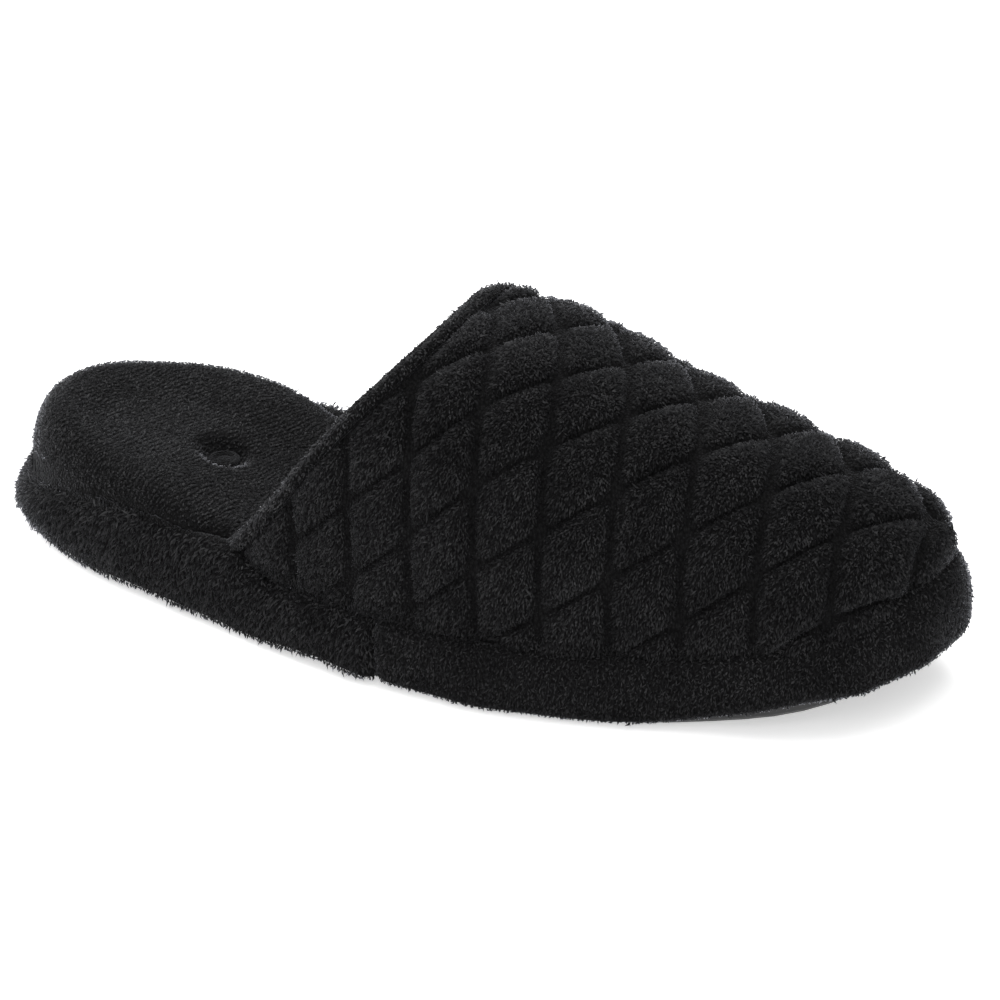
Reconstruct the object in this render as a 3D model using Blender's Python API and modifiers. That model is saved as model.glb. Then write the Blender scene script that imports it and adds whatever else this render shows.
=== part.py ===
"""Clog slipper for the right foot: a quilted terry vamp on a terry wrapped platform sole.

The tables below use the shoe's own run: along is 0 at the back of the heel and LENGTH at the tip of
the toe, the outer side of the foot is at -Y, the inner side at +Y and the floor at Z = 0. All tables
are in millimetres. The finished pieces stand with the origin under the middle of the shoe, +X to the
toe and +Z up, in metres.
"""

from collections import namedtuple
from math import pi

import bmesh
import bpy
import numpy as np

MM = 0.001
COLLECTION = "clog_slipper"
CUTTERS = "clog_slipper_cutters"
GAP = 0.3  # clearance between neighbouring pieces

# Plan outline: half breadths to each side of the heel-to-toe line
LENGTH = 266.0
TOE_TIP_ASIDE = 12.5  # the tip lies towards the inner side
HEEL_BACK_ASIDE = 1.5  # and so does the back of the heel, a little
Breadth = namedtuple("Breadth", "along outer inner")
BREADTHS = (
    Breadth(8, 19.0, 22.0),
    Breadth(35, 33.5, 38.0),
    Breadth(70, 41.5, 39.0),
    Breadth(105, 48.5, 35.5),
    Breadth(145, 51.5, 41.0),
    Breadth(185, 45.3, 42.8),
    Breadth(222, 34.0, 39.5),
    Breadth(250, 21.5, 32.5),
)

# Heights of the footbed and of the feather line, and how far inside the outline the vamp stands
Level = namedtuple("Level", "along platform feather vamp_inset")
LEVELS = (
    Level(0, 32.5, 32.5, 4.6),
    Level(50, 31.8, 31.8, 4.6),
    Level(80, 26.0, 24.0, 4.4),
    Level(100, 23.6, 17.0, 4.0),
    Level(125, 22.2, 17.6, 3.6),
    Level(160, 21.0, 17.9, 3.0),
    Level(190, 20.8, 18.8, 2.4),
    Level(212, 21.6, 20.2, 2.4),
    Level(232, 24.2, 23.8, 2.4),
    Level(252, 31.0, 31.0, 3.0),
    Level(LENGTH, 42.5, 42.5, 4.2),
)

# Outsole: flat under heel and forefoot, a low arch between them and a rising toe
SOLE_THICKNESS = 3.6
SOLE_EDGE_ROUND = 1.2
SOLE_INSET_HEEL = 3.6
SOLE_INSET_TOE = 1.9
SOLE_WIDEN_START, SOLE_WIDEN_END = 126.0, 175.0  # in front of the heel band's skirt
SOLE_TIP_INSET, SOLE_TIP_START = 4.0, 225.0  # the band hangs further over the sole at the toe
ARCH_RISE = 1.2
ARCH_START, ARCH_END = 88.0, 142.0
TOE_SPRING = 16.0
TOE_SPRING_START = 180.0

# Side bands: rows run from the foot of the band up its outer face, over its ledge and down inside.
# Rise is a share of the height from the seat to the platform. Behind the vamp the heel band is bare:
# it ends lower, under the rolled rim of the footbed, and its pile hides the edge of the outsole.
BAND_THICKNESS = 8.0
BARE_LEDGE_RISE, BARE_LEDGE_INSET = 0.77, 3.5
BARE_START, BARE_END = 56.0, 82.0
HEEL_SINK, HEEL_SINK_RUN = 0.40, 75.0  # the bare band stands lower towards the back
HEEL_DROP, HEEL_DROP_RUN = 0.2, 30.0
TOE_LEAN, TOE_LEAN_START = 2.6, 215.0
SIDE_SEAM_OUTER, SIDE_SEAM_INNER = 128.5, 122.0
FrontRow = namedtuple("FrontRow", "rise inset")
FRONT_BAND = (
    FrontRow(0.00, 2.2),
    FrontRow(0.13, 0.7),
    FrontRow(0.40, 0.0),
    FrontRow(0.66, 0.2),
    FrontRow(0.88, 0.9),
    FrontRow(1.00, 1.9),
    FrontRow(1.00, BAND_THICKNESS),
    FrontRow(0.00, BAND_THICKNESS),
)
HeelRow = namedtuple("HeelRow", "rise inset bare_rise bare_inset")
HEEL_BAND = (
    HeelRow(0.00, 3.3, 0.00, 3.3),
    HeelRow(-0.10, 3.3, -0.10, 3.3),
    HeelRow(-0.09, 1.6, -0.09, 1.6),
    HeelRow(0.06, 0.4, 0.06, 0.4),
    HeelRow(0.34, 0.0, 0.28, 0.0),
    HeelRow(0.60, 0.4, 0.46, 0.2),
    HeelRow(0.83, 1.4, 0.61, 0.7),
    HeelRow(0.95, 2.4, 0.71, 1.6),
    HeelRow(1.00, 3.4, 0.76, 2.6),
    HeelRow(1.00, BAND_THICKNESS, BARE_LEDGE_RISE, BARE_LEDGE_INSET),
    HeelRow(0.00, BAND_THICKNESS, 0.00, BAND_THICKNESS),
)

# Footbed: a dished cushion whose rim rolls over the heel band and is flatter under the vamp
FOOTBED_DROP = 0.5
FOOTBED_DISH, DISH_HALF_BREADTH = 1.2, 26.0
FOOTBED_CROWN, FOOTBED_CROWN_RUN = 4.6, 55.0
FOOTBED_SIDE_GAP, FOOTBED_SIDE_RISE = 0.8, 1.0
RIM_RISE_HEEL, RIM_RISE_FRONT = 0.77, 0.88  # where the rim starts on the band's inner face
ROLL_WIDTH_HEEL, ROLL_WIDTH_FRONT = 8.0, 4.0
Roll = namedtuple("Roll", "inward drop")  # shares of the roll's width and drop
FOOTBED_ROLL = (
    Roll(0.00, 1.00),
    Roll(0.12, 0.58),
    Roll(0.33, 0.26),
    Roll(0.63, 0.07),
    Roll(1.00, 0.00),
)
DIMPLE_ALONG, DIMPLE_ASIDE = 60.5, -3.5
DIMPLE_RADIUS, DIMPLE_FLOOR_RADIUS, DIMPLE_DEPTH = 7.6, 6.6, 2.6
BUTTON_RADIUS, BUTTON_THICKNESS, BUTTON_EDGE = 5.6, 1.6, 0.5

# Vamp: a ridge falls from the crest of the throat to the nose, with full sections under it
WALL = 3.0
CREST_ALONG, CREST_HEIGHT = 134.0, 92.5
CREST_ASIDE = 2.0
CREST_EASE, CREST_EASE_RUN = 5.4, 30.0  # the ridge levels out where it meets the throat
NOSE_HEIGHT = 51.5
NOSE_ROUND_START = 0.70  # share of the ridge where it starts to curve down
NOSE_FULLNESS = 2.5
RIDGE_SWING_START, RIDGE_SWING_POWER = 0.3, 1.5
THROAT_FULLNESS, TOE_FULLNESS = 2.95, 2.39
FULLNESS_START, FULLNESS_END = 130.0, 185.0
THROAT_CORNER, THROAT_CREST = 80.0, 131.0
THROAT_SHAPE = 0.70
THROAT_FAR_LEAN, THROAT_FAR_START, THROAT_FAR_END = 9.0, 0.5, 0.35
BINDING_WIDTH = 4.5
BINDING_PROUD = 0.5
BINDING_ROUND = 1.5

# Quilting: two mirrored families of sewn lines
QUILT_PITCH = 19.7
QUILT_SLANT = 0.449  # run along the shoe for each girth, where the lines slant most
QUILT_TURN, QUILT_TURN_SPAN = 0.131, 0.499  # where on the half girth the lines straighten
QUILT_START = 130.0
QUILT_OUTER_PHASE, QUILT_INNER_PHASE = 3.856, -0.272
QUILT_SPREAD, QUILT_SPREAD_MIDDLE, QUILT_SPREAD_SPAN = -0.111, 190.0, 60.0
QUILT_LOFT = 2.2
QUILT_LEVEL = 0.5  # share of the loft that lies under the smooth form
QUILT_CREASE = 0.75  # sharpness of the sewn lines
QUILT_FADE_FOOT, QUILT_FADE_THROAT = 7.0, 5.0

# Mesh counts
OUTLINE_SAMPLES = 1440
VAMP_ROWS, VAMP_COLUMNS = 44, 56
SOLE_STATIONS = 36
FOOTBED_STATIONS, FOOTBED_ACROSS = 46, 6
FRONT_STATIONS, HEEL_STATIONS = 54, 52
GIRTH_SAMPLES = 61
DIMPLE_SIDES = 32

Finish = namedtuple("Finish", "color roughness")
FINISHES = {
    "outsole": Finish((0.028, 0.028, 0.030, 1.0), 0.75),
    "insole": Finish((0.014, 0.014, 0.015, 1.0), 0.95),
    "rand_front": Finish((0.016, 0.016, 0.017, 1.0), 0.92),
    "rand_heel": Finish((0.014, 0.014, 0.015, 1.0), 0.95),
    "upper": Finish((0.016, 0.016, 0.017, 1.0), 0.92),
    "throat_binding": Finish((0.018, 0.018, 0.019, 1.0), 0.90),
    "footbed_button": Finish((0.020, 0.020, 0.021, 1.0), 0.80),
}


def smooth_curve(knots, values):
    """Monotone cubic through a table's rows, as a function of the distance along the shoe."""
    knots, values = np.array(knots, float), np.array(values, float)
    step = np.diff(knots)
    rise = np.diff(values) / step
    slope = np.zeros(len(knots))
    slope[0], slope[-1] = rise[0], rise[-1]
    for i in range(1, len(knots) - 1):
        if rise[i - 1] * rise[i] > 0:
            before, after = 2 * step[i] + step[i - 1], step[i] + 2 * step[i - 1]
            slope[i] = (before + after) / (before / rise[i - 1] + after / rise[i])

    def height(along):
        along = np.clip(along, knots[0], knots[-1])
        i = np.clip(np.searchsorted(knots, along) - 1, 0, len(step) - 1)
        t = (along - knots[i]) / step[i]
        straight = values[i] + (values[i + 1] - values[i]) * t * t * (3 - 2 * t)
        lift = slope[i] * t * (1 - t) ** 2 - slope[i + 1] * t * t * (1 - t)
        return straight + step[i] * lift

    return height


def smoothstep(share):
    share = np.clip(share, 0, 1)
    return share * share * (3 - 2 * share)


def between(start, end, share):
    return start + (end - start) * share


platform_height = smooth_curve([r.along for r in LEVELS], [r.platform for r in LEVELS])
feather_height = smooth_curve([r.along for r in LEVELS], [r.feather for r in LEVELS])
vamp_inset = smooth_curve([r.along for r in LEVELS], [r.vamp_inset for r in LEVELS])


def closed_spline(points, count):
    """Evenly spaced points on a smooth closed curve through the given ones."""
    points = np.array(points, float)
    n = len(points)
    ahead = np.roll(points, -1, axis=0) - points
    step = np.sqrt(np.linalg.norm(ahead, axis=1))
    system = np.zeros((n, n))
    pull = np.zeros((n, 2))
    for i in range(n):
        near, far = 1 / step[i - 1], 1 / step[i]
        system[i, i - 1] += near
        system[i, i] += 2 * (near + far)
        system[i, (i + 1) % n] += far
        pull[i] = 3 * (ahead[i - 1] * near**2 + ahead[i] * far**2)
    tangent = np.linalg.solve(system, pull)
    t = np.linspace(0, 1, count, endpoint=False)[:, None]
    pieces = []
    for i in range(n):
        j = (i + 1) % n
        bend = tangent[i] * t * (1 - t) ** 2 - tangent[j] * t * t * (1 - t)
        pieces.append(points[i] + ahead[i] * t * t * (3 - 2 * t) + step[i] * bend)
    fine = np.concatenate(pieces)
    fine = np.vstack([fine, fine[:1]])
    run = np.concatenate([[0], np.cumsum(np.linalg.norm(np.diff(fine, axis=0), axis=1))])
    even = np.linspace(0, run[-1], count, endpoint=False)
    return np.stack([np.interp(even, run, fine[:, k]) for k in range(2)], axis=1)


def plan_outline():
    """Plan outline from the heel back round the outer side, with its outward normals."""
    outer = [(r.along, -r.outer) for r in BREADTHS]
    inner = [(r.along, r.inner) for r in reversed(BREADTHS)]
    points = [(0, HEEL_BACK_ASIDE)] + outer + [(LENGTH, TOE_TIP_ASIDE)] + inner
    curve = closed_spline(points, OUTLINE_SAMPLES)
    curve[:, 0] -= curve[:, 0].min()
    curve[:, 0] *= LENGTH / curve[:, 0].max()
    tangent = np.roll(curve, -1, axis=0) - np.roll(curve, 1, axis=0)
    tangent /= np.linalg.norm(tangent, axis=1)[:, None]
    return curve, np.stack([tangent[:, 1], -tangent[:, 0]], axis=1)


OUTLINE, OUTWARD = plan_outline()
MIDDLE = np.array([LENGTH / 2, (OUTLINE[:, 1].min() + OUTLINE[:, 1].max()) / 2, 0])


def inset_outline(inset):
    """The outline moved inwards by a distance, or by one for each of its points."""
    return OUTLINE - OUTWARD * np.broadcast_to(inset, len(OUTLINE))[:, None]


def read_round(values, counts):
    """Rows of a list that goes round the outline, read between its points and past its end."""
    index = np.arange(2 * OUTLINE_SAMPLES)
    twice = np.vstack([values, values])
    return np.stack([np.interp(counts, index, twice[:, k]) for k in range(values.shape[1])], axis=1)


class Plan:
    """An inset outline read as its two sides: aside of the outer and inner edge at a place along."""

    def __init__(self, inset):
        self.curve = inset_outline(inset)
        first = int(self.curve[:, 0].argmin())
        self.counts = first + np.arange(OUTLINE_SAMPLES + 1)
        walk = self.curve[self.counts % OUTLINE_SAMPLES]
        self.tip = int(walk[:, 0].argmax())
        self.start, self.end = walk[0, 0], walk[self.tip, 0]
        self.outer_side, self.inner_side = walk[: self.tip + 1], walk[self.tip :][::-1]

    def edges(self, along):
        outer = np.interp(along, self.outer_side[:, 0], self.outer_side[:, 1])
        inner = np.interp(along, self.inner_side[:, 0], self.inner_side[:, 1])
        return outer, inner

    def stations(self, count):
        """Places along, closer together at the round ends, from just inside each end."""
        turn = np.linspace(0, pi, count + 2)[1:-1]
        return self.start + (self.end - self.start) * (1 - np.cos(turn)) / 2

    def ring_counts(self, stations):
        """Outline counts of a ring: heel, outer side at the stations, toe, and the inner side back."""
        outer_counts, inner_counts = self.counts[: self.tip + 1], self.counts[self.tip :][::-1]
        outer = np.interp(stations, self.outer_side[:, 0], outer_counts)
        inner = np.interp(stations, self.inner_side[:, 0], inner_counts)
        ends = self.counts[0], self.counts[self.tip]
        return np.concatenate([ends[:1], outer, ends[1:], inner[::-1]])


def sole_bottom(along):
    """Underside of the sole: flat spots, the low arch between them, and the toe spring."""
    arch = np.clip((along - ARCH_START) / (ARCH_END - ARCH_START), 0, 1)
    toe = np.clip((along - TOE_SPRING_START) / (LENGTH - TOE_SPRING_START), 0, 1)
    return ARCH_RISE * np.sin(pi * arch) ** 2 + TOE_SPRING * toe**2


def seat(along):
    """Where the bands and the footbed sit, just above the outsole."""
    return sole_bottom(along) + SOLE_THICKNESS + GAP


def band_height(along, rise):
    return between(seat(along), feather_height(along), rise)


def bare_heel(along):
    """1 round the bare heel, 0 where the vamp stands on the band."""
    return smoothstep((BARE_END - along) / (BARE_END - BARE_START))


def heel_sink(along):
    """Share by which the bare heel band stands lower towards the back."""
    sink = HEEL_SINK * smoothstep((HEEL_SINK_RUN - along) / HEEL_SINK_RUN)
    return sink + HEEL_DROP * smoothstep((HEEL_DROP_RUN - along) / HEEL_DROP_RUN)


VAMP_FOOT = Plan(vamp_inset(OUTLINE[:, 0]))


def vamp_frame(along):
    """Cross-section at a place along: aside of both feet and of the ridge, foot level and height."""
    outer, inner = VAMP_FOOT.edges(along)
    share = (along - CREST_ALONG) / (VAMP_FOOT.end - CREST_ALONG)
    foot = feather_height(along) + GAP
    ease = CREST_EASE * np.clip(1 - (along - CREST_ALONG) / CREST_EASE_RUN, 0, 1) ** 2
    ridge = between(CREST_HEIGHT, NOSE_HEIGHT, share) - ease
    nose = np.clip((share - NOSE_ROUND_START) / (1 - NOSE_ROUND_START), 0, 1)
    height = (ridge - foot) * (1 - nose**NOSE_FULLNESS) ** (1 / NOSE_FULLNESS)
    swing = np.clip((share - RIDGE_SWING_START) / (1 - RIDGE_SWING_START), 0, 1)
    aside = between(CREST_ASIDE, TOE_TIP_ASIDE, swing**RIDGE_SWING_POWER)
    return outer, inner, np.clip(aside, outer, inner), foot, height


def vamp_point(along, turn):
    """A point of the vamp's smooth outer form: turn is 0 at the outer foot and pi at the inner one."""
    outer, inner, ridge, foot, height = vamp_frame(along)
    forward = smoothstep((along - FULLNESS_START) / (FULLNESS_END - FULLNESS_START))
    power = 2 / between(THROAT_FULLNESS, TOE_FULLNESS, forward)
    across = np.sign(np.cos(turn)) * np.abs(np.cos(turn)) ** power
    up = np.clip(np.sin(turn), 0, 1) ** power
    aside = ridge + np.where(across > 0, outer - ridge, ridge - inner) * across
    return np.stack(np.broadcast_arrays(along, aside, foot + height * up), axis=-1)


def vamp_normal(along, turn):
    """Outward direction of the vamp's smooth form, level at its foot so that the wall stands on it."""
    small_run, small_turn = 0.2, 0.004
    back = vamp_point(along - small_run, turn)
    front = vamp_point(np.minimum(along + small_run, VAMP_FOOT.end), turn)
    low = vamp_point(along, np.clip(turn - small_turn, 0, pi))
    high = vamp_point(along, np.clip(turn + small_turn, 0, pi))
    normal = np.cross(front - back, high - low)
    at_foot = (turn < small_turn) | (turn > pi - small_turn)
    normal[..., 2] = np.where(at_foot, 0, normal[..., 2])
    at_tip = along > VAMP_FOOT.end - small_run / 2
    normal[at_tip] = (1, 0, 0)
    return normal / np.linalg.norm(normal, axis=-1)[..., None]


def throat_edge(turn):
    """Place along of the throat's edge: it leans forward to the crest, more so on the inner side."""
    edge = between(THROAT_CORNER, THROAT_CREST, np.clip(np.sin(turn), 0, 1) ** THROAT_SHAPE)
    far = turn / (pi / 2) - 1
    lean = smoothstep(far / THROAT_FAR_START) * smoothstep((1 - far) / THROAT_FAR_END)
    return edge + THROAT_FAR_LEAN * lean


def girth(along, turn):
    """Half girth of the section, and the share of it from the ridge: 1 at the outer foot, -1 inside."""
    turns = np.linspace(0, pi, GIRTH_SAMPLES)
    points = vamp_point(along[..., None], turns)
    step = np.linalg.norm(np.diff(points, axis=-2), axis=-1)
    run = np.concatenate([np.zeros(along.shape + (1,)), np.cumsum(step, axis=-1)], axis=-1)
    half = run[..., GIRTH_SAMPLES // 2]
    place = turn / pi * (GIRTH_SAMPLES - 1)
    low = np.clip(place.astype(int), 0, GIRTH_SAMPLES - 2)
    before = np.take_along_axis(run, low[..., None], -1)[..., 0]
    after = np.take_along_axis(run, low[..., None] + 1, -1)[..., 0]
    return half, (half - between(before, after, place - low)) / np.maximum(half, GAP)


def quilt_line(along, half, share, phase):
    """Counts the sewn lines of one family: whole numbers lie on a line."""
    span = QUILT_TURN_SPAN
    level = np.log(np.cosh(QUILT_TURN / span))
    drift = share - span * (np.log(np.cosh((share - QUILT_TURN) / span)) - level)
    run = along - half * QUILT_SLANT * drift
    spread = QUILT_SPREAD * ((run - QUILT_SPREAD_MIDDLE) / QUILT_SPREAD_SPAN) ** 2
    return (run - QUILT_START) / QUILT_PITCH + spread + phase


def quilt_relief(along, turn):
    """How far the padding stands out of the smooth form, level at the throat and at the foot."""
    half, share = girth(along, turn)
    first = quilt_line(along, half, share, QUILT_OUTER_PHASE)
    second = quilt_line(along, half, -share, QUILT_INNER_PHASE)
    pillow = np.abs(np.sin(pi * first) * np.sin(pi * second)) ** QUILT_CREASE
    foot_fade = smoothstep(half * (1 - np.abs(share)) / QUILT_FADE_FOOT)
    throat_fade = smoothstep((along - throat_edge(turn) - BINDING_WIDTH) / QUILT_FADE_THROAT)
    return QUILT_LOFT * (pillow - QUILT_LEVEL) * foot_fade * throat_fade


def vamp_grid(rows, columns):
    """Places along and turns of a grid from the binding to the tip of the nose."""
    sweep = np.linspace(0, pi / 2, rows + 1)[:, None]
    turn = np.linspace(0, pi, columns + 1)[None, :]
    start = throat_edge(turn) + BINDING_WIDTH + GAP
    along = VAMP_FOOT.end - (VAMP_FOOT.end - start) * (1 - np.sin(sweep))
    return along, np.broadcast_to(turn, along.shape)


def new_material(name):
    finish = FINISHES[name]
    material = bpy.data.materials.new(name)
    material.use_nodes = True
    shader = material.node_tree.nodes["Principled BSDF"]
    shader.inputs["Base Color"].default_value = finish.color
    shader.inputs["Roughness"].default_value = finish.roughness
    shader.inputs["Metallic"].default_value = 0.0
    return material


def new_piece(name, points, faces, collection):
    """A closed mesh from points in the shoe's own run, moved to the part's frame."""
    mesh = bpy.data.meshes.new(name)
    mesh.from_pydata((np.asarray(points) - MIDDLE) * MM, [], faces)
    body = bmesh.new()
    body.from_mesh(mesh)
    bmesh.ops.recalc_face_normals(body, faces=body.faces)
    body.to_mesh(mesh)
    body.free()
    mesh.materials.append(new_material(name))
    mesh.shade_smooth()
    piece = bpy.data.objects.new(name, mesh)
    collection.objects.link(piece)
    return piece


def band_faces(low, high):
    """Quads between two closed rings of points that go round together."""
    size = len(low)
    return [[low[k], low[(k + 1) % size], high[(k + 1) % size], high[k]] for k in range(size)]


def loft(name, rings, collection):
    """A solid through closed rings of points that follow one another, capped at both ends."""
    count, size = len(rings), len(rings[0])
    numbers = np.arange(count * size).reshape(count, size).tolist()
    faces = [numbers[0], numbers[-1]]
    for low, high in zip(numbers, numbers[1:]):
        faces += band_faces(low, high)
    return new_piece(name, np.concatenate(rings), faces, collection)


def make_outsole(collection):
    forward = smoothstep((OUTLINE[:, 0] - SOLE_WIDEN_START) / (SOLE_WIDEN_END - SOLE_WIDEN_START))
    inset = between(SOLE_INSET_HEEL, SOLE_INSET_TOE, forward)
    tip = smoothstep((OUTLINE[:, 0] - SOLE_TIP_START) / (LENGTH - SOLE_TIP_START))
    inset = inset + SOLE_TIP_INSET * tip
    side, bottom = Plan(inset), Plan(inset + SOLE_EDGE_ROUND)
    rings = []
    for along in bottom.stations(SOLE_STATIONS):
        low = float(sole_bottom(along))
        outer, inner = side.edges(along)
        outer_low, inner_low = bottom.edges(along)
        corners = (
            (outer_low, low),
            (outer, low + SOLE_EDGE_ROUND),
            (outer, low + SOLE_THICKNESS),
            (inner, low + SOLE_THICKNESS),
            (inner, low + SOLE_EDGE_ROUND),
            (inner_low, low),
        )
        rings.append(np.array([(along, aside, up) for aside, up in corners]))
    return loft("outsole", rings, collection)


def front_profile(along):
    """Rise and inset of the front band's section, which leans in at the tip of the toe."""
    lean = TOE_LEAN * float(smoothstep((along - TOE_LEAN_START) / (LENGTH - TOE_LEAN_START)))
    rows = []
    for row in FRONT_BAND:
        share = max(row.rise - 0.4, 0) / 0.6 * (1 - row.inset / BAND_THICKNESS)
        rows.append((row.rise, row.inset + lean * share))
    return rows


def heel_profile(along):
    """Rise and inset of the heel band's section, lower where the heel is bare."""
    bare, sink = float(bare_heel(along)), float(heel_sink(along))
    rows = []
    for row in HEEL_BAND:
        rise = between(row.rise, row.bare_rise - sink * max(row.bare_rise, 0), bare)
        rows.append((rise, between(row.inset, row.bare_inset, bare)))
    return rows


def make_band(name, profile, first, last, stations, collection):
    """A side band swept along the outline between two outline counts."""
    counts = np.linspace(first, last, stations + 1)
    path, outward = read_round(OUTLINE, counts), read_round(OUTWARD, counts)
    outward /= np.linalg.norm(outward, axis=1)[:, None]
    rings = []
    for point, out in zip(path, outward):
        ring = []
        for rise, inset in profile(point[0]):
            along, aside = point - out * inset
            ring.append((along, aside, band_height(along, rise)))
        rings.append(np.array(ring))
    return loft(name, rings, collection)


def seam_counts():
    """Outline counts of the two side seams, where front and heel band meet."""
    plan = Plan(0)
    outer = np.interp(SIDE_SEAM_OUTER, plan.outer_side[:, 0], plan.counts[: plan.tip + 1])
    inner = np.interp(SIDE_SEAM_INNER, plan.inner_side[:, 0], plan.counts[plan.tip :][::-1])
    return outer, inner


def make_bands(collection):
    outer, inner = seam_counts()
    half_gap = GAP / 2 / np.linalg.norm(OUTLINE[1] - OUTLINE[0])
    front = outer + half_gap, inner - half_gap
    heel = inner + half_gap, outer + OUTLINE_SAMPLES - half_gap
    make_band("rand_front", front_profile, *front, FRONT_STATIONS, collection)
    make_band("rand_heel", heel_profile, *heel, HEEL_STATIONS, collection)


def footbed_top(along):
    """Height of the footbed inside its roll, a little fuller towards the back of the heel."""
    crown = FOOTBED_CROWN * smoothstep((FOOTBED_CROWN_RUN - along) / FOOTBED_CROWN_RUN)
    return platform_height(along) - FOOTBED_DROP + crown


def footbed_rings():
    """The footbed's rings from its seat over its rim to the flat: insets, and heights for points along."""
    bare = bare_heel(OUTLINE[:, 0])
    ledge_inset = between(BAND_THICKNESS, BARE_LEDGE_INSET, bare)
    low = 1 - heel_sink(OUTLINE[:, 0])
    ledge_rise = between(1.0, BARE_LEDGE_RISE * low, bare)
    rim_rise = between(RIM_RISE_FRONT, RIM_RISE_HEEL * low, bare)
    face_inset = between(BAND_THICKNESS, ledge_inset, rim_rise / ledge_rise)
    rim_inset = face_inset + FOOTBED_SIDE_GAP
    width = between(ROLL_WIDTH_FRONT, ROLL_WIDTH_HEEL, bare)
    seat_inset = np.full(OUTLINE_SAMPLES, BAND_THICKNESS + FOOTBED_SIDE_GAP)
    insets = [seat_inset, rim_inset] + [rim_inset + width * row.inward for row in FOOTBED_ROLL]
    curves = [inset_outline(inset) for inset in insets]
    heights = [seat(curves[0][:, 0]), band_height(curves[1][:, 0], rim_rise)]
    drop = footbed_top(curves[1][:, 0]) - heights[1] - FOOTBED_SIDE_RISE
    for row, curve in zip(FOOTBED_ROLL, curves[2:]):
        heights.append(footbed_top(curve[:, 0]) - drop * row.drop)
    rings = [np.column_stack([curve, height]) for curve, height in zip(curves, heights)]
    return rings, Plan(insets[-1])


def make_insole(collection, cutters):
    """Cushion of rings from the seat to the inside of the roll, closed by strips across the foot."""
    rings, flat = footbed_rings()
    stations = flat.stations(FOOTBED_STATIONS)
    counts = flat.ring_counts(stations)
    points = np.concatenate([read_round(ring, counts) for ring in rings])
    numbers = np.arange(len(points)).reshape(len(rings), len(counts)).tolist()
    faces = []
    for low, high in zip(numbers, numbers[1:]):
        faces += band_faces(low, high)
    shares = np.linspace(-1, 1, FOOTBED_ACROSS + 1)[1:-1]
    added = []
    for ring, across in ((numbers[0], ()), (numbers[-1], shares)):
        rows = []
        for i in range(1, FOOTBED_STATIONS + 1):
            outer, inner = ring[i], ring[len(counts) - i]
            row = [outer]
            half = (points[inner][1] - points[outer][1]) / 2
            dish = FOOTBED_DISH * smoothstep(half / DISH_HALF_BREADTH)
            for share in across:
                point = between(points[outer], points[inner], (share + 1) / 2)
                point[2] = footbed_top(point[0]) - dish * (1 - share**2)
                row.append(len(points) + len(added))
                added.append(point)
            rows.append(row + [inner])
        faces += strip_faces(ring[0], rows, ring[FOOTBED_STATIONS + 1])
    insole = new_piece("insole", np.vstack([points, added]), faces, collection)
    cut_dimple(insole, cutters)
    return insole


def strip_faces(heel, rows, toe):
    """Faces of rows of points across the foot, closed to one point at the heel and one at the toe."""
    faces = []
    for end, row in ((heel, rows[0]), (toe, rows[-1])):
        faces += [[end, row[k], row[k + 1]] for k in range(len(row) - 1)]
    for near, far in zip(rows, rows[1:]):
        faces += [[near[k], near[k + 1], far[k + 1], far[k]] for k in range(len(near) - 1)]
    return faces


def dimple_floor():
    return float(footbed_top(DIMPLE_ALONG)) - FOOTBED_DISH - DIMPLE_DEPTH


def in_part_frame(along, aside, up):
    return tuple((np.array([along, aside, up]) - MIDDLE) * MM)


def put_in(collection, piece):
    """Moves an object that an operator made to one collection."""
    for other in list(piece.users_collection):
        other.objects.unlink(piece)
    collection.objects.link(piece)


def cut_dimple(insole, cutters):
    """A shallow round recess with sloping sides, in the heel end of the footbed."""
    height = 2 * DIMPLE_DEPTH
    widen = DIMPLE_RADIUS - DIMPLE_FLOOR_RADIUS
    bpy.ops.mesh.primitive_cone_add(
        vertices=DIMPLE_SIDES,
        radius1=DIMPLE_FLOOR_RADIUS * MM,
        radius2=(DIMPLE_FLOOR_RADIUS + 2 * widen) * MM,
        depth=height * MM,
        location=in_part_frame(DIMPLE_ALONG, DIMPLE_ASIDE, dimple_floor() + height / 2),
    )
    cutter = bpy.context.object
    cutter.name = "dimple_cutter"
    put_in(cutters, cutter)
    cutter.hide_render = True
    cutter.display_type = "WIRE"
    cut = insole.modifiers.new("dimple", "BOOLEAN")
    cut.operation = "DIFFERENCE"
    cut.object = cutter


def make_button(collection):
    """Plain round button lying in the dimple."""
    middle = dimple_floor() + GAP + BUTTON_THICKNESS / 2
    bpy.ops.mesh.primitive_cylinder_add(
        vertices=DIMPLE_SIDES,
        radius=BUTTON_RADIUS * MM,
        depth=BUTTON_THICKNESS * MM,
        location=in_part_frame(DIMPLE_ALONG, DIMPLE_ASIDE, middle),
    )
    button = bpy.context.object
    button.name = "footbed_button"
    button.data.name = button.name
    put_in(collection, button)
    button.data.materials.append(new_material(button.name))
    button.data.shade_smooth()
    button.data.set_sharp_from_angle(angle=pi / 4)
    edge = button.modifiers.new("soft_edge", "BEVEL")
    edge.width = BUTTON_EDGE * MM
    edge.segments = 2
    return button


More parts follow.
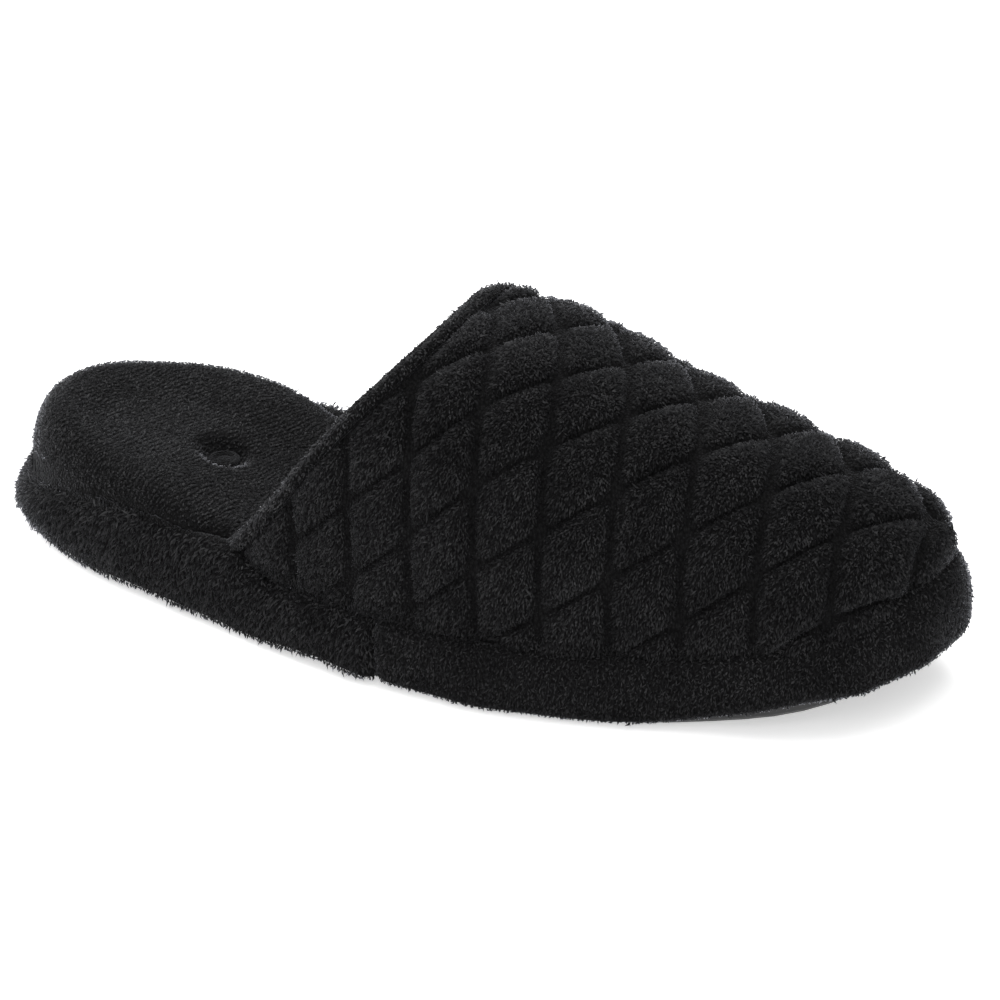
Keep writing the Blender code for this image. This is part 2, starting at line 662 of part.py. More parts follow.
class GridSkin:
    """Faces of a vamp grid whose last row is one point, the tip of the nose."""

    def __init__(self, rows, columns, first_point):
        self.rows, self.columns, self.first = rows, columns, first_point
        self.tip = first_point + rows * (columns + 1)

    def point(self, row, column):
        return self.tip if row == self.rows else self.first + row * (self.columns + 1) + column

    def faces(self):
        for i in range(self.rows):
            for k in range(self.columns):
                corners = [(i, k), (i, k + 1), (i + 1, k + 1), (i + 1, k)]
                yield list(dict.fromkeys(self.point(*corner) for corner in corners))

    def rim(self):
        """The open edge: over the throat, then forward along the inner foot and back along the outer."""
        throat = [self.point(0, k) for k in range(self.columns)]
        inner = [self.point(i, self.columns) for i in range(self.rows)]
        outer = [self.point(i, 0) for i in range(self.rows, 0, -1)]
        return throat + inner + outer


def make_upper(collection):
    """Quilted outer skin over a smooth inner skin of half its grid, joined round the open rim."""
    along, turn = vamp_grid(VAMP_ROWS, VAMP_COLUMNS)
    form, normal = vamp_point(along, turn), vamp_normal(along, turn)
    quilted = form + normal * quilt_relief(along, turn)[..., None]
    lining = (form - normal * WALL)[::2, ::2]
    skins = []
    points = []
    for surface in (quilted, lining):
        rows, columns = surface.shape[0] - 1, surface.shape[1] - 1
        skins.append(GridSkin(rows, columns, sum(len(p) for p in points)))
        points.append(np.vstack([surface[:-1].reshape(-1, 3), surface[-1, :1]]))
    faces = [face for skin in skins for face in skin.faces()]
    fine, coarse = skins[0].rim(), skins[1].rim()
    for i, start in enumerate(coarse):
        end = coarse[(i + 1) % len(coarse)]
        first, middle, last = (fine[(2 * i + k) % len(fine)] for k in range(3))
        faces += [[first, middle, start], [middle, end, start], [middle, last, end]]
    return new_piece("upper", np.vstack(points), faces, collection)


def binding_profile():
    """Run from the throat's edge and height over the vamp's form, round the hem's section."""
    top, under = BINDING_PROUD, -WALL - BINDING_PROUD
    bend = BINDING_ROUND
    outside = [(bend / 3, top - bend * 0.8), (bend, top)]
    outside += [(BINDING_WIDTH - bend / 2, top), (BINDING_WIDTH, top - bend / 2)]
    inside = [(run, top + under - out) for run, out in reversed(outside)]
    return [(0.0, (top + under) / 2)] + outside + inside


def make_binding(collection):
    """Folded hem along the throat, in the line of the vamp's wall and a little proud of it."""
    rings = []
    for turn in np.linspace(0, pi, VAMP_COLUMNS + 1):
        at = np.array([turn])
        ring = []
        for run, out in binding_profile():
            place = throat_edge(at) + run
            ring.append((vamp_point(place, at) + vamp_normal(place, at) * out)[0])
        rings.append(np.array(ring))
    return loft("throat_binding", rings, collection)


def new_collection(name):
    collection = bpy.data.collections.new(name)
    bpy.context.scene.collection.children.link(collection)
    return collection


def main():
    for leftover in list(bpy.data.objects):
        bpy.data.objects.remove(leftover)
    parts, cutters = new_collection(COLLECTION), new_collection(CUTTERS)
    make_outsole(parts)
    make_insole(parts, cutters)
    make_bands(parts)
    make_upper(parts)
    make_binding(parts)
    make_button(parts)


if __name__ == "__main__":
    main()
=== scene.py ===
"""Looks of the clog slipper: quilted terry over the vamp, terry pile on its bands and footbed.

The shape functions repeat the part's own, in millimetres along the shoe's own run: along is 0 at the
back of the heel and LENGTH at the tip of the toe, and the outer side of the foot is at -Y. Each skin
is a fine sheet of points on those shapes. Its piece is a grid moved onto the points, and its pile is
one modelled loop, copied evenly over the sheet into one joined mesh.
"""

from collections import namedtuple
from math import pi, radians

import bpy
import numpy as np
from bpy.props import FloatProperty, FloatVectorProperty, IntProperty, PointerProperty
from mathutils import Matrix, Vector


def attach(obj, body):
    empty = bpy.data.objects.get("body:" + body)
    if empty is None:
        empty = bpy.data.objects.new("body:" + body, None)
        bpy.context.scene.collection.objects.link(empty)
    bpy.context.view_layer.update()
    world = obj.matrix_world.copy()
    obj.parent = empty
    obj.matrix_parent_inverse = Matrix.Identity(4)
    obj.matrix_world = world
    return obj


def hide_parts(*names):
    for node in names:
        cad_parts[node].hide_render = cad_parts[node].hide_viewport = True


bl_info = {
    "name": "Clog slipper looks",
    "version": (1, 0, 0),
    "blender": (4, 5, 0),
    "location": "View3D > Sidebar > Slipper",
    "description": "Dresses the slipper's frame in quilted terry, and sets a plain stage",
    "category": "Object",
}

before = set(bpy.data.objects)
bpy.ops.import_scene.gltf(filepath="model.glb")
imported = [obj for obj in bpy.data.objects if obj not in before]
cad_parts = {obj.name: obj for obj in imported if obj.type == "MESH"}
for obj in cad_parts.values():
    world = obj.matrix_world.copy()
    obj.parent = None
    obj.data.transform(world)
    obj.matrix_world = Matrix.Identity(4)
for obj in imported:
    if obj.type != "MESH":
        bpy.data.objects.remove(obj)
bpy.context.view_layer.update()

MM = 0.001
GAP = 0.3
FLOOR_GAP = 0.25
VAMP_SINK = 0.6  # the vamp's foot reaches into the soft top of the bands
WELD = 1e-6
SMALL_RUN, SMALL_TURN = 0.2, 0.004  # steps that the slope of a form is read from

# Plan outline: half breadths to each side of the heel-to-toe line
LENGTH = 266.0
TOE_TIP_ASIDE, HEEL_BACK_ASIDE = 12.5, 1.5
Breadth = namedtuple("Breadth", "along outer inner")
BREADTHS = (
    Breadth(8, 19.0, 22.0),
    Breadth(35, 33.5, 38.0),
    Breadth(70, 41.5, 39.0),
    Breadth(105, 48.5, 35.5),
    Breadth(145, 51.5, 41.0),
    Breadth(185, 45.3, 42.8),
    Breadth(222, 34.0, 39.5),
    Breadth(250, 21.5, 32.5),
)

# Heights of the footbed and of the feather line, and how far inside the outline the vamp stands
Level = namedtuple("Level", "along platform feather vamp_inset")
LEVELS = (
    Level(0, 32.5, 32.5, 4.6),
    Level(50, 31.8, 31.8, 4.6),
    Level(80, 26.0, 24.0, 4.4),
    Level(100, 23.6, 17.0, 4.0),
    Level(125, 22.2, 17.6, 3.6),
    Level(160, 21.0, 17.9, 3.0),
    Level(190, 20.8, 18.8, 2.4),
    Level(212, 21.6, 20.2, 2.4),
    Level(232, 24.2, 23.8, 2.4),
    Level(252, 31.0, 31.0, 3.0),
    Level(LENGTH, 42.5, 42.5, 4.2),
)

SOLE_THICKNESS = 3.6
ARCH_RISE, ARCH_START, ARCH_END = 1.2, 88.0, 142.0
TOE_SPRING, TOE_SPRING_START = 16.0, 180.0

# Side bands: rise is a share of the height from the seat to the feather line
BAND_THICKNESS = 8.0
BARE_LEDGE_RISE, BARE_LEDGE_INSET = 0.77, 3.5
BARE_START, BARE_END = 60.0, 84.0
HEEL_SINK, HEEL_SINK_RUN, HEEL_SWELL = 0.40, 75.0, 1.3
HEEL_DROP, HEEL_DROP_RUN = 0.15, 30.0
SIDE_SEAM_OUTER, SIDE_SEAM_INNER = 128.5, 122.0
SEAM_TUCK_RUN, TUCK_INSET, TUCK_FADE = 1.6, 3.0, 4.0
TOE_LEAN, TOE_LEAN_START, TOE_LEAN_RISE = 2.6, 215.0, 0.2
SKIRT, SKIRT_START, SKIRT_END = 0.2, 200.0, 238.0
TOE_SKIRT, TOE_SKIRT_START, TOE_SKIRT_END = 0.14, 240.0, 254.0
SKIRT_RISE, SKIRT_SPREAD = 0.4, 2.5
HEEL_LIFT, HEEL_HANG, HEEL_SPREAD = -0.8, 1.5, 0.8  # of the heel band's lower edge, from back to side
HEEL_HANG_START, HEEL_HANG_END = 55.0, 95.0
HEEL_HANG_RISE, HEEL_HANG_FADE = 0.2, 0.3
BAND_LUMP, BAND_UNEVEN, FRONT_SEED, HEEL_SEED = 22.0, 1.5, 5, 6
LOOPS_PAST_VAMP, LOOPS_BEFORE_LEDGE = 0.4, 0.6
LOOPS_UNDER, LOOPS_UNDER_MORE, LOOPS_UNDER_RISE = 1.9, 1.6, 0.3
PROFILE_SPAN = 20.0  # makes a share of rise as long as an inset, for the section's smooth curve
FrontRow = namedtuple("FrontRow", "rise inset")
FRONT_BAND = (
    FrontRow(0.00, 1.7),
    FrontRow(0.13, 0.5),
    FrontRow(0.40, 0.0),
    FrontRow(0.66, 0.2),
    FrontRow(0.88, 0.9),
    FrontRow(1.00, 1.9),
    FrontRow(1.00, BAND_THICKNESS),
    FrontRow(0.00, BAND_THICKNESS),
)
HeelRow = namedtuple("HeelRow", "rise inset bare_rise bare_inset")
HEEL_BAND = (
    HeelRow(0.00, 3.3, 0.00, 3.3),
    HeelRow(-0.10, 3.3, -0.10, 3.3),
    HeelRow(-0.09, 1.6, -0.09, 1.6),
    HeelRow(0.06, 0.4, 0.06, 0.4),
    HeelRow(0.34, 0.0, 0.28, 0.0),
    HeelRow(0.60, 0.4, 0.46, 0.2),
    HeelRow(0.83, 1.4, 0.61, 0.7),
    HeelRow(0.95, 2.4, 0.71, 1.6),
    HeelRow(1.00, 3.4, 0.76, 2.6),
    HeelRow(1.00, BAND_THICKNESS, BARE_LEDGE_RISE, BARE_LEDGE_INSET),
    HeelRow(0.00, BAND_THICKNESS, 0.00, BAND_THICKNESS),
)

# Footbed: a dished cushion whose rim rolls over the heel band
FOOTBED_DROP, FOOTBED_DISH, DISH_RUN = 0.5, 1.2, 18.0
FOOTBED_CROWN, FOOTBED_CROWN_RUN = 4.6, 55.0
FOOTBED_SIDE_GAP, FOOTBED_DEPTH = -1.0, 4.0
FOOTBED_TUCK, FOOTBED_TUCK_RUN = 0.8, 0.8
FOOTBED_LUMP, FOOTBED_UNEVEN, FOOTBED_SEED = 30.0, 1.2, 7
EDGE_STEP = 3  # the footbed's edge is read at every third point of the outline
RIM_RISE_HEEL, RIM_RISE_FRONT = 0.77, 0.88
ROLL_WIDTH_HEEL, ROLL_WIDTH_FRONT = 9.0, 4.0
Roll = namedtuple("Roll", "inward drop")
FOOTBED_ROLL = (
    Roll(0.00, 1.00),
    Roll(0.12, 0.58),
    Roll(0.33, 0.26),
    Roll(0.63, 0.07),
    Roll(1.00, 0.00),
)
DIMPLE_ALONG, DIMPLE_ASIDE = 60.5, -3.5
DIMPLE_RADIUS, DIMPLE_DEPTH, DIMPLE_SLOPE = 8.2, 3.7, 3.7
BUTTON_ALONG, BUTTON_ASIDE, BUTTON_SEAT = 61.2, -4.6, 0.3
BUTTON_RADIUS, BUTTON_THICKNESS, BUTTON_BEVEL = 4.3, 1.8, 0.45
BUTTON_CORNERS, BUTTON_BEVEL_STEPS = 64, 3
Step = namedtuple("Step", "inset rise")
BUTTON_STEPS = (Step(0.35, 0.25), Step(0.35, -0.1), Step(0.5, -0.7), Step(0.6, 0.0), Step(0.6, 0.4))

# Vamp: a ridge falls from the crest of the throat to the nose, with full sections under it
WALL = 3.0
CREST_ALONG, CREST_HEIGHT, CREST_ASIDE = 134.0, 92.5, 2.0
CREST_EASE, CREST_EASE_RUN = 5.4, 30.0
NOSE_HEIGHT, NOSE_ROUND_START, NOSE_FULLNESS = 51.5, 0.70, 4.0
RIDGE_SWING_START, RIDGE_SWING_POWER = 0.3, 1.5
THROAT_FULLNESS, TOE_FULLNESS = 2.95, 2.39
FULLNESS_START, FULLNESS_END = 130.0, 185.0
THROAT_CORNER, THROAT_CREST, THROAT_SHAPE = 80.0, 131.0, 0.70
THROAT_FAR_LEAN, THROAT_FAR_START, THROAT_FAR_END = 9.0, 0.5, 0.35
HEM_WIDTH, HEM_ROUND, HEM_OVERLAP, HEM_UNDER = 4.5, 1.5, 1.6, -2.4
HEM_LUMP, HEM_UNEVEN, HEM_SEED = 9.0, 0.2, 9
HEM_LOOPS_UNDER, HEM_LOOPS_FOLD, HEM_LOOPS_BACK = -2.0, 1.2, 0.8
HEM_TUCK, HEM_TUCK_RUN = 0.8, 1.4
FOOT_TUCK, FOOT_TUCK_RUN = 0.15, 1.0
FOOT_CLEAR, FOOT_CLEAR_RUN, FOOT_SEWN = 1.2, 6.0, 1.3
VAMP_LUMP, VAMP_SEED = 26.0, 3

# Quilting: two mirrored families of sewn lines, and the first sewn line of each
QUILT_PITCH, QUILT_SLANT = 19.7, 0.449
QUILT_TURN, QUILT_TURN_SPAN = 0.131, 0.499
QUILT_START = 130.0
QUILT_OUTER_PHASE, QUILT_INNER_PHASE = 3.856, -0.272
QUILT_SPREAD, QUILT_SPREAD_MIDDLE, QUILT_SPREAD_SPAN = -0.111, 190.0, 60.0
QUILT_OUTER_FIRST, QUILT_INNER_FIRST = 1.0, -3.0
QUILT_WIDTH, QUILT_MEET = 17.4, 1.0
QUILT_FLOOR_STEEP, QUILT_FLOOR_FLAT = 0.7, 0.25
QUILT_RIDGE_SHIFT, QUILT_RIDGE_SPAN = 3.0, 0.34
QUILT_LEVEL, QUILT_CROWN, QUILT_SHOULDER = 0.62, 0.2, 0.6
QUILT_STEEP_SPAN = 0.3
CELL_OUTER, CELL_INNER, CELL_SPREAD = 12.9898, 78.233, 43.7  # mix the numbers of a diamond's lines
CELL_UNEVEN = 0.1
QUILT_FADE_FOOT, QUILT_FADE_THROAT, QUILT_FLUSH = 1.6, 1.6, 9.0
PILE_DEPTH = 0.7
Drift = namedtuple("Drift", "along span shift")
QUILT_DRIFT = (
    Drift(95, 22, -1.4),
    Drift(170, 35, 0.9),
    Drift(235, 20, -0.5),
)

# Terry loops: length and width are shares of the loop settings, row the distance between drawn rows
Nap = namedtuple("Nap", "lie stray rise rise_spread length width row", defaults=(0,))
VAMP_NAP = Nap((-0.3, 0, -1), 0.4, 30, 16, 1.0, 1.0)
HEM_NAP = Nap((-0.3, 0, -1), 0.6, 36, 20, 0.95, 0.9)
FRONT_NAP = Nap((-0.2, 0, -1), 0.6, 22, 16, 0.9, 0.9)
HEEL_NAP = Nap((0, 0, -1), 0.45, 36, 18, 1.4, 1.0)
FOOTBED_NAP = Nap((0.47, 0.88, 0), 0.7, 32, 20, 0.72, 0.95, 1.35)
LOOP_BEND, LOOP_SPREAD, LOOP_CORNERS = 0.34, 0.2, 3
RISE_LEAST, RISE_MOST = -10, 85
LIFT_LONG, LIFT_WIDE = 0.45, 0.12
TUFT_SHARE, TUFT_RISE, TUFT_LENGTH = 0.03, 45, 1.6
# Near a sewn line loops are shorter, and their tone falls to a share of itself: painted shade in the
# quilt's grooves
SEWN_RUN, SEWN_LENGTH, SEWN_PAINTED_SHADE = 1.3, 0.5, 0.35
SEWN_BARE, SEWN_FULL = 0.1, 0.8
TONE_LOW, TONE_HIGH = 1.3, 3.0
ROW_WAVE, ROW_PULL, ROW_LUMP, ROW_SEED = 0.7, 0.65, 16.0, 21
INNER_SPACING = 1.25
SEEN_END, SEEN_FADE, SEEN_INWARD = 175, 30, 1.0
SURFACE_LIGHT, FORM_LIGHT = 0.62, 0.5

# Fabrics: shine is the ground's share of the loops' light colour; it lightens the ground most on its
# knots' tops, a painted highlight, and it also sets the ground's sheen
FABRIC_KNOTS, FABRIC_SHINE = (1500.0, 1500.0, 800.0), 0.42
FOOTBED_KNOTS, FOOTBED_SHINE = (1500.0, 1500.0, 1500.0), 0.4
BUTTON_KNOTS, BUTTON_SHINE = (2600.0, 2600.0, 2600.0), 0.5
# The hem, the heel band and the footbed get lighter copies of the one terry colour: painted light, as if
# they stood in stronger light than the rest
HEM_PAINTED_LIGHT, HEEL_PAINTED_LIGHT, FOOTBED_PAINTED_LIGHT = 1.7, 1.1, 1.05
PATCH_SCALE = 70.0
PILE_SHEEN, PILE_SPECULAR, GROUND_SHEEN, GROUND_SPECULAR = 0.6, 0.06, 0.1, 0.05
SHEEN_ROUGHNESS, SHEEN_TINT = 0.3, (0.9, 0.92, 1.0, 1.0)

# Stage, in metres and watts
FLOOR_SIZE, FLOOR_GLOW, SKY_STRENGTH = 8, 0.45, 0.6
LIGHT_AIM = (0, 0, 0.03)
Lamp = namedtuple("Lamp", "name place size watts")
LAMPS = (
    Lamp("key_light", (-0.5, 0.75, 1.0), 0.7, 13),
    Lamp("left_light", (-1.3, 0.15, 0.5), 0.6, 17),
    Lamp("top_light", (0.1, 0.0, 1.4), 1.2, 11),
    Lamp("front_light", (0.3, -1.2, 0.9), 1.0, 7.5),
)

# Camera, as it stood in front of the slipper in the shoe's own run
VIEW_AZIMUTH, VIEW_ELEVATION, VIEW_ROLL = 26.47, 29.96, -0.53
VIEW_TARGET = (132.5, 0.0, 35.0)
VIEW_DISTANCE, VIEW_LENS, VIEW_SENSOR = 1341.0, 185.94, 36
VIEW_RIGHT, VIEW_UP = 7.19, -4.83

# Fineness of the outline, the sections and the sheets
OUTLINE_SAMPLES = 1440
GIRTH_SAMPLES = 61
VAMP_ROWS, VAMP_COLUMNS = 150, 200
FRONT_STATIONS, HEEL_STATIONS, BAND_SAMPLES = 220, 200, 40
FOOTBED_ROWS, FOOTBED_COLUMNS = 150, 70
HEM_COLUMNS, HEM_SAMPLES = 180, 24
LUMP_WAVES = 7
PILE_FINE = 2


def smooth_curve(knots, values):
    """Monotone cubic through a table's rows, as a function of the distance along."""
    knots, values = np.array(knots, float), np.array(values, float)
    step = np.diff(knots)
    rise = np.diff(values) / step
    slope = np.zeros(len(knots))
    slope[0], slope[-1] = rise[0], rise[-1]
    for i in range(1, len(knots) - 1):
        if rise[i - 1] * rise[i] > 0:
            before, after = 2 * step[i] + step[i - 1], step[i] + 2 * step[i - 1]
            slope[i] = (before + after) / (before / rise[i - 1] + after / rise[i])

    def height(along):
        along = np.clip(along, knots[0], knots[-1])
        i = np.clip(np.searchsorted(knots, along) - 1, 0, len(step) - 1)
        t = (along - knots[i]) / step[i]
        straight = values[i] + (values[i + 1] - values[i]) * t * t * (3 - 2 * t)
        lift = slope[i] * t * (1 - t) ** 2 - slope[i + 1] * t * t * (1 - t)
        return straight + step[i] * lift

    return height


def smoothstep(share):
    share = np.clip(share, 0, 1)
    return share * share * (3 - 2 * share)


def ramp(value, start, end):
    """Smooth rise from 0 at the start to 1 at the end, which may lie to either side."""
    return smoothstep((value - start) / (end - start))


def between(start, end, share):
    return start + (end - start) * share


def unit(vectors):
    return vectors / np.maximum(np.linalg.norm(vectors, axis=-1, keepdims=True), WELD)


def run_along(points):
    """Distance of each point of a line from its first."""
    return np.concatenate([[0], np.cumsum(np.linalg.norm(np.diff(points, axis=0), axis=1))])


platform_height = smooth_curve([r.along for r in LEVELS], [r.platform for r in LEVELS])
feather_height = smooth_curve([r.along for r in LEVELS], [r.feather for r in LEVELS])
vamp_inset = smooth_curve([r.along for r in LEVELS], [r.vamp_inset for r in LEVELS])
roll_drop = smooth_curve([r.inward for r in FOOTBED_ROLL], [r.drop for r in FOOTBED_ROLL])


def closed_spline(points, count):
    """Evenly spaced points on a smooth closed curve through the given ones."""
    points = np.array(points, float)
    n = len(points)
    ahead = np.roll(points, -1, axis=0) - points
    step = np.sqrt(np.linalg.norm(ahead, axis=1))
    system = np.zeros((n, n))
    pull = np.zeros((n, 2))
    for i in range(n):
        near, far = 1 / step[i - 1], 1 / step[i]
        system[i, i - 1] += near
        system[i, i] += 2 * (near + far)
        system[i, (i + 1) % n] += far
        pull[i] = 3 * (ahead[i - 1] * near**2 + ahead[i] * far**2)
    tangent = np.linalg.solve(system, pull)
    t = np.linspace(0, 1, count, endpoint=False)[:, None]
    pieces = []
    for i in range(n):
        j = (i + 1) % n
        bend = tangent[i] * t * (1 - t) ** 2 - tangent[j] * t * t * (1 - t)
        pieces.append(points[i] + ahead[i] * t * t * (3 - 2 * t) + step[i] * bend)
    fine = np.concatenate(pieces)
    fine = np.vstack([fine, fine[:1]])
    run = run_along(fine)
    even = np.linspace(0, run[-1], count, endpoint=False)
    return np.stack([np.interp(even, run, fine[:, k]) for k in range(2)], axis=1)


def plan_outline():
    """Plan outline from the heel back round the outer side, with its outward normals."""
    outer = [(r.along, -r.outer) for r in BREADTHS]
    inner = [(r.along, r.inner) for r in reversed(BREADTHS)]
    points = [(0, HEEL_BACK_ASIDE)] + outer + [(LENGTH, TOE_TIP_ASIDE)] + inner
    curve = closed_spline(points, OUTLINE_SAMPLES)
    curve[:, 0] -= curve[:, 0].min()
    curve[:, 0] *= LENGTH / curve[:, 0].max()
    tangent = unit(np.roll(curve, -1, axis=0) - np.roll(curve, 1, axis=0))
    return curve, np.stack([tangent[:, 1], -tangent[:, 0]], axis=1)


OUTLINE, OUTWARD = plan_outline()
MIDDLE = np.array([LENGTH / 2, (OUTLINE[:, 1].min() + OUTLINE[:, 1].max()) / 2, 0])


def read_round(values, counts):
    """Rows of a list that goes round the outline, read between its points and past its end."""
    index = np.arange(2 * OUTLINE_SAMPLES)
    twice = np.vstack([values, values])
    return np.stack([np.interp(counts, index, twice[:, k]) for k in range(values.shape[1])], axis=1)


class Plan:
    """An inset outline read as its two sides: aside of the outer and inner edge at a place along."""

    def __init__(self, inset):
        self.curve = OUTLINE - OUTWARD * np.broadcast_to(inset, len(OUTLINE))[:, None]
        first = int(self.curve[:, 0].argmin())
        self.counts = first + np.arange(OUTLINE_SAMPLES + 1)
        walk = self.curve[self.counts % OUTLINE_SAMPLES]
        self.tip = int(walk[:, 0].argmax())
        self.start, self.end = walk[0, 0], walk[self.tip, 0]
        self.outer_side, self.inner_side = walk[: self.tip + 1], walk[self.tip :][::-1]

    def edges(self, along):
        outer = np.interp(along, self.outer_side[:, 0], self.outer_side[:, 1])
        inner = np.interp(along, self.inner_side[:, 0], self.inner_side[:, 1])
        return outer, inner


def seat(along):
    """Where bands and footbed sit, over the arch and the toe spring."""
    arch = np.clip((along - ARCH_START) / (ARCH_END - ARCH_START), 0, 1)
    toe = np.clip((along - TOE_SPRING_START) / (LENGTH - TOE_SPRING_START), 0, 1)
    bottom = ARCH_RISE * np.sin(pi * arch) ** 2 + TOE_SPRING * toe**2
    return bottom + SOLE_THICKNESS + GAP


def band_height(along, rise):
    return between(seat(along), feather_height(along), rise)


def bare_heel(along):
    """1 round the bare heel, 0 where the vamp stands on the band."""
    return ramp(along, BARE_END, BARE_START)


def heel_sink(along):
    """Share by which the bare heel band stands lower towards the back."""
    return HEEL_SINK * ramp(along, HEEL_SINK_RUN, 0) + HEEL_DROP * ramp(along, HEEL_DROP_RUN, 0)


VAMP_FOOT = Plan(vamp_inset(OUTLINE[:, 0]))


def vamp_frame(along):
    """Cross-section at a place along: aside of both feet and of the ridge, foot level and height."""
    outer, inner = VAMP_FOOT.edges(along)
    share = (along - CREST_ALONG) / (VAMP_FOOT.end - CREST_ALONG)
    foot = feather_height(along) - VAMP_SINK
    ease = CREST_EASE * np.clip(1 - (along - CREST_ALONG) / CREST_EASE_RUN, 0, 1) ** 2
    ridge = between(CREST_HEIGHT, NOSE_HEIGHT, share) - ease
    nose = np.clip((share - NOSE_ROUND_START) / (1 - NOSE_ROUND_START), 0, 1)
    height = (ridge - foot) * (1 - nose**NOSE_FULLNESS) ** (1 / NOSE_FULLNESS)
    swing = np.clip((share - RIDGE_SWING_START) / (1 - RIDGE_SWING_START), 0, 1)
    aside = between(CREST_ASIDE, TOE_TIP_ASIDE, swing**RIDGE_SWING_POWER)
    return outer, inner, np.clip(aside, outer, inner), foot, height


def vamp_point(along, turn):
    """A point of the vamp's smooth form: turn is 0 at the outer foot and pi at the inner one."""
    outer, inner, ridge, foot, height = vamp_frame(along)
    forward = ramp(along, FULLNESS_START, FULLNESS_END)
    power = 2 / between(THROAT_FULLNESS, TOE_FULLNESS, forward)
    across = np.sign(np.cos(turn)) * np.abs(np.cos(turn)) ** power
    up = np.clip(np.sin(turn), 0, 1) ** power
    aside = ridge + np.where(across > 0, outer - ridge, ridge - inner) * across
    return np.stack(np.broadcast_arrays(along, aside, foot + height * up), axis=-1)


def vamp_normal(along, turn):
    """Outward direction of the vamp's smooth form, level at its foot."""
    back = vamp_point(along - SMALL_RUN, turn)
    front = vamp_point(np.minimum(along + SMALL_RUN, VAMP_FOOT.end), turn)
    low = vamp_point(along, np.clip(turn - SMALL_TURN, 0, pi))
    high = vamp_point(along, np.clip(turn + SMALL_TURN, 0, pi))
    normal = np.cross(front - back, high - low)
    at_foot = (turn < SMALL_TURN) | (turn > pi - SMALL_TURN)
    normal[..., 2] = np.where(at_foot, 0, normal[..., 2])
    normal[along > VAMP_FOOT.end - SMALL_RUN / 2] = (1, 0, 0)
    return unit(normal)


def throat_edge(turn):
    """Place along of the throat's edge: it leans forward to the crest, more so on the inner side."""
    edge = between(THROAT_CORNER, THROAT_CREST, np.clip(np.sin(turn), 0, 1) ** THROAT_SHAPE)
    far = turn / (pi / 2) - 1
    lean = smoothstep(far / THROAT_FAR_START) * smoothstep((1 - far) / THROAT_FAR_END)
    return edge + THROAT_FAR_LEAN * lean


def girth(along, turn):
    """Half girth of the section, and the share of it from the ridge: 1 at the outer foot."""
    turns = np.linspace(0, pi, GIRTH_SAMPLES)
    points = vamp_point(along[..., None], turns)
    step = np.linalg.norm(np.diff(points, axis=-2), axis=-1)
    run = np.concatenate([np.zeros(along.shape + (1,)), np.cumsum(step, axis=-1)], axis=-1)
    half = run[..., GIRTH_SAMPLES // 2]
    place = turn / pi * (GIRTH_SAMPLES - 1)
    low = np.clip(place.astype(int), 0, GIRTH_SAMPLES - 2)
    before = np.take_along_axis(run, low[..., None], -1)[..., 0]
    after = np.take_along_axis(run, low[..., None] + 1, -1)[..., 0]
    return half, (half - between(before, after, place - low)) / np.maximum(half, GAP)


def quilt_line(along, half, share, phase):
    """Counts the sewn lines of one family: whole numbers lie on a line."""
    span = QUILT_TURN_SPAN
    level = np.log(np.cosh(QUILT_TURN / span))
    drift = share - span * (np.log(np.cosh((share - QUILT_TURN) / span)) - level)
    run = along - half * QUILT_SLANT * drift
    spread = QUILT_SPREAD * ((run - QUILT_SPREAD_MIDDLE) / QUILT_SPREAD_SPAN) ** 2
    return (run - QUILT_START) / QUILT_PITCH + spread + phase


def lumps(points, size, seed):
    """Soft unevenness between -1 and 1, about as broad as size."""
    rng = np.random.default_rng(seed)
    total = np.zeros(points.shape[:-1])
    for _ in range(LUMP_WAVES):
        direction = rng.normal(size=3)
        direction /= np.linalg.norm(direction)
        total += np.sin(points @ direction * 2 * pi / size + rng.uniform(0, 2 * pi))
    return total / LUMP_WAVES**0.5


class Skin:
    """A sheet of points, rows by columns, with its outward normals and any masks on its points.

    The form is the direction that the surface has without its quilting.
    """

    def __init__(self, points, normals=None, form=None, **masks):
        self.points = points
        if normals is None:
            normals = np.cross(np.gradient(points, axis=0), np.gradient(points, axis=1))
        self.normals = unit(normals)
        self.form = self.normals if form is None else form
        self.masks = masks

    def scatter(self, spacing, cover, rng):
        """Places spread evenly, about one to each square of the spacing, where cover is above 0."""
        corners = [(slice(0, -1), slice(0, -1)), (slice(1, None), slice(0, -1))]
        corners += [(slice(1, None), slice(1, None)), (slice(0, -1), slice(1, None))]
        a, b, c, d = (self.points[k] for k in corners)
        area = np.linalg.norm(np.cross(c - a, d - b), axis=-1) / 2
        share = sum(np.broadcast_to(cover, self.points.shape[:2])[k] for k in corners) / 4
        wanted = area * np.clip(share, 0, 1) / spacing**2
        number = np.floor(wanted + rng.random(wanted.shape)).astype(int)
        row, column = (np.repeat(n.ravel(), number.ravel()) for n in np.indices(number.shape))
        s, t = rng.random(len(row)), rng.random(len(row))

        def read(values):
            shape = (-1,) + (1,) * (values.ndim - 2)
            p, q = s.reshape(shape), t.reshape(shape)
            near = between(values[row, column], values[row + 1, column], p)
            far = between(values[row, column + 1], values[row + 1, column + 1], p)
            return between(near, far, q)

        masks = {name: read(mask) for name, mask in self.masks.items()}
        return read(self.points), unit(read(self.normals)), read(self.form), masks


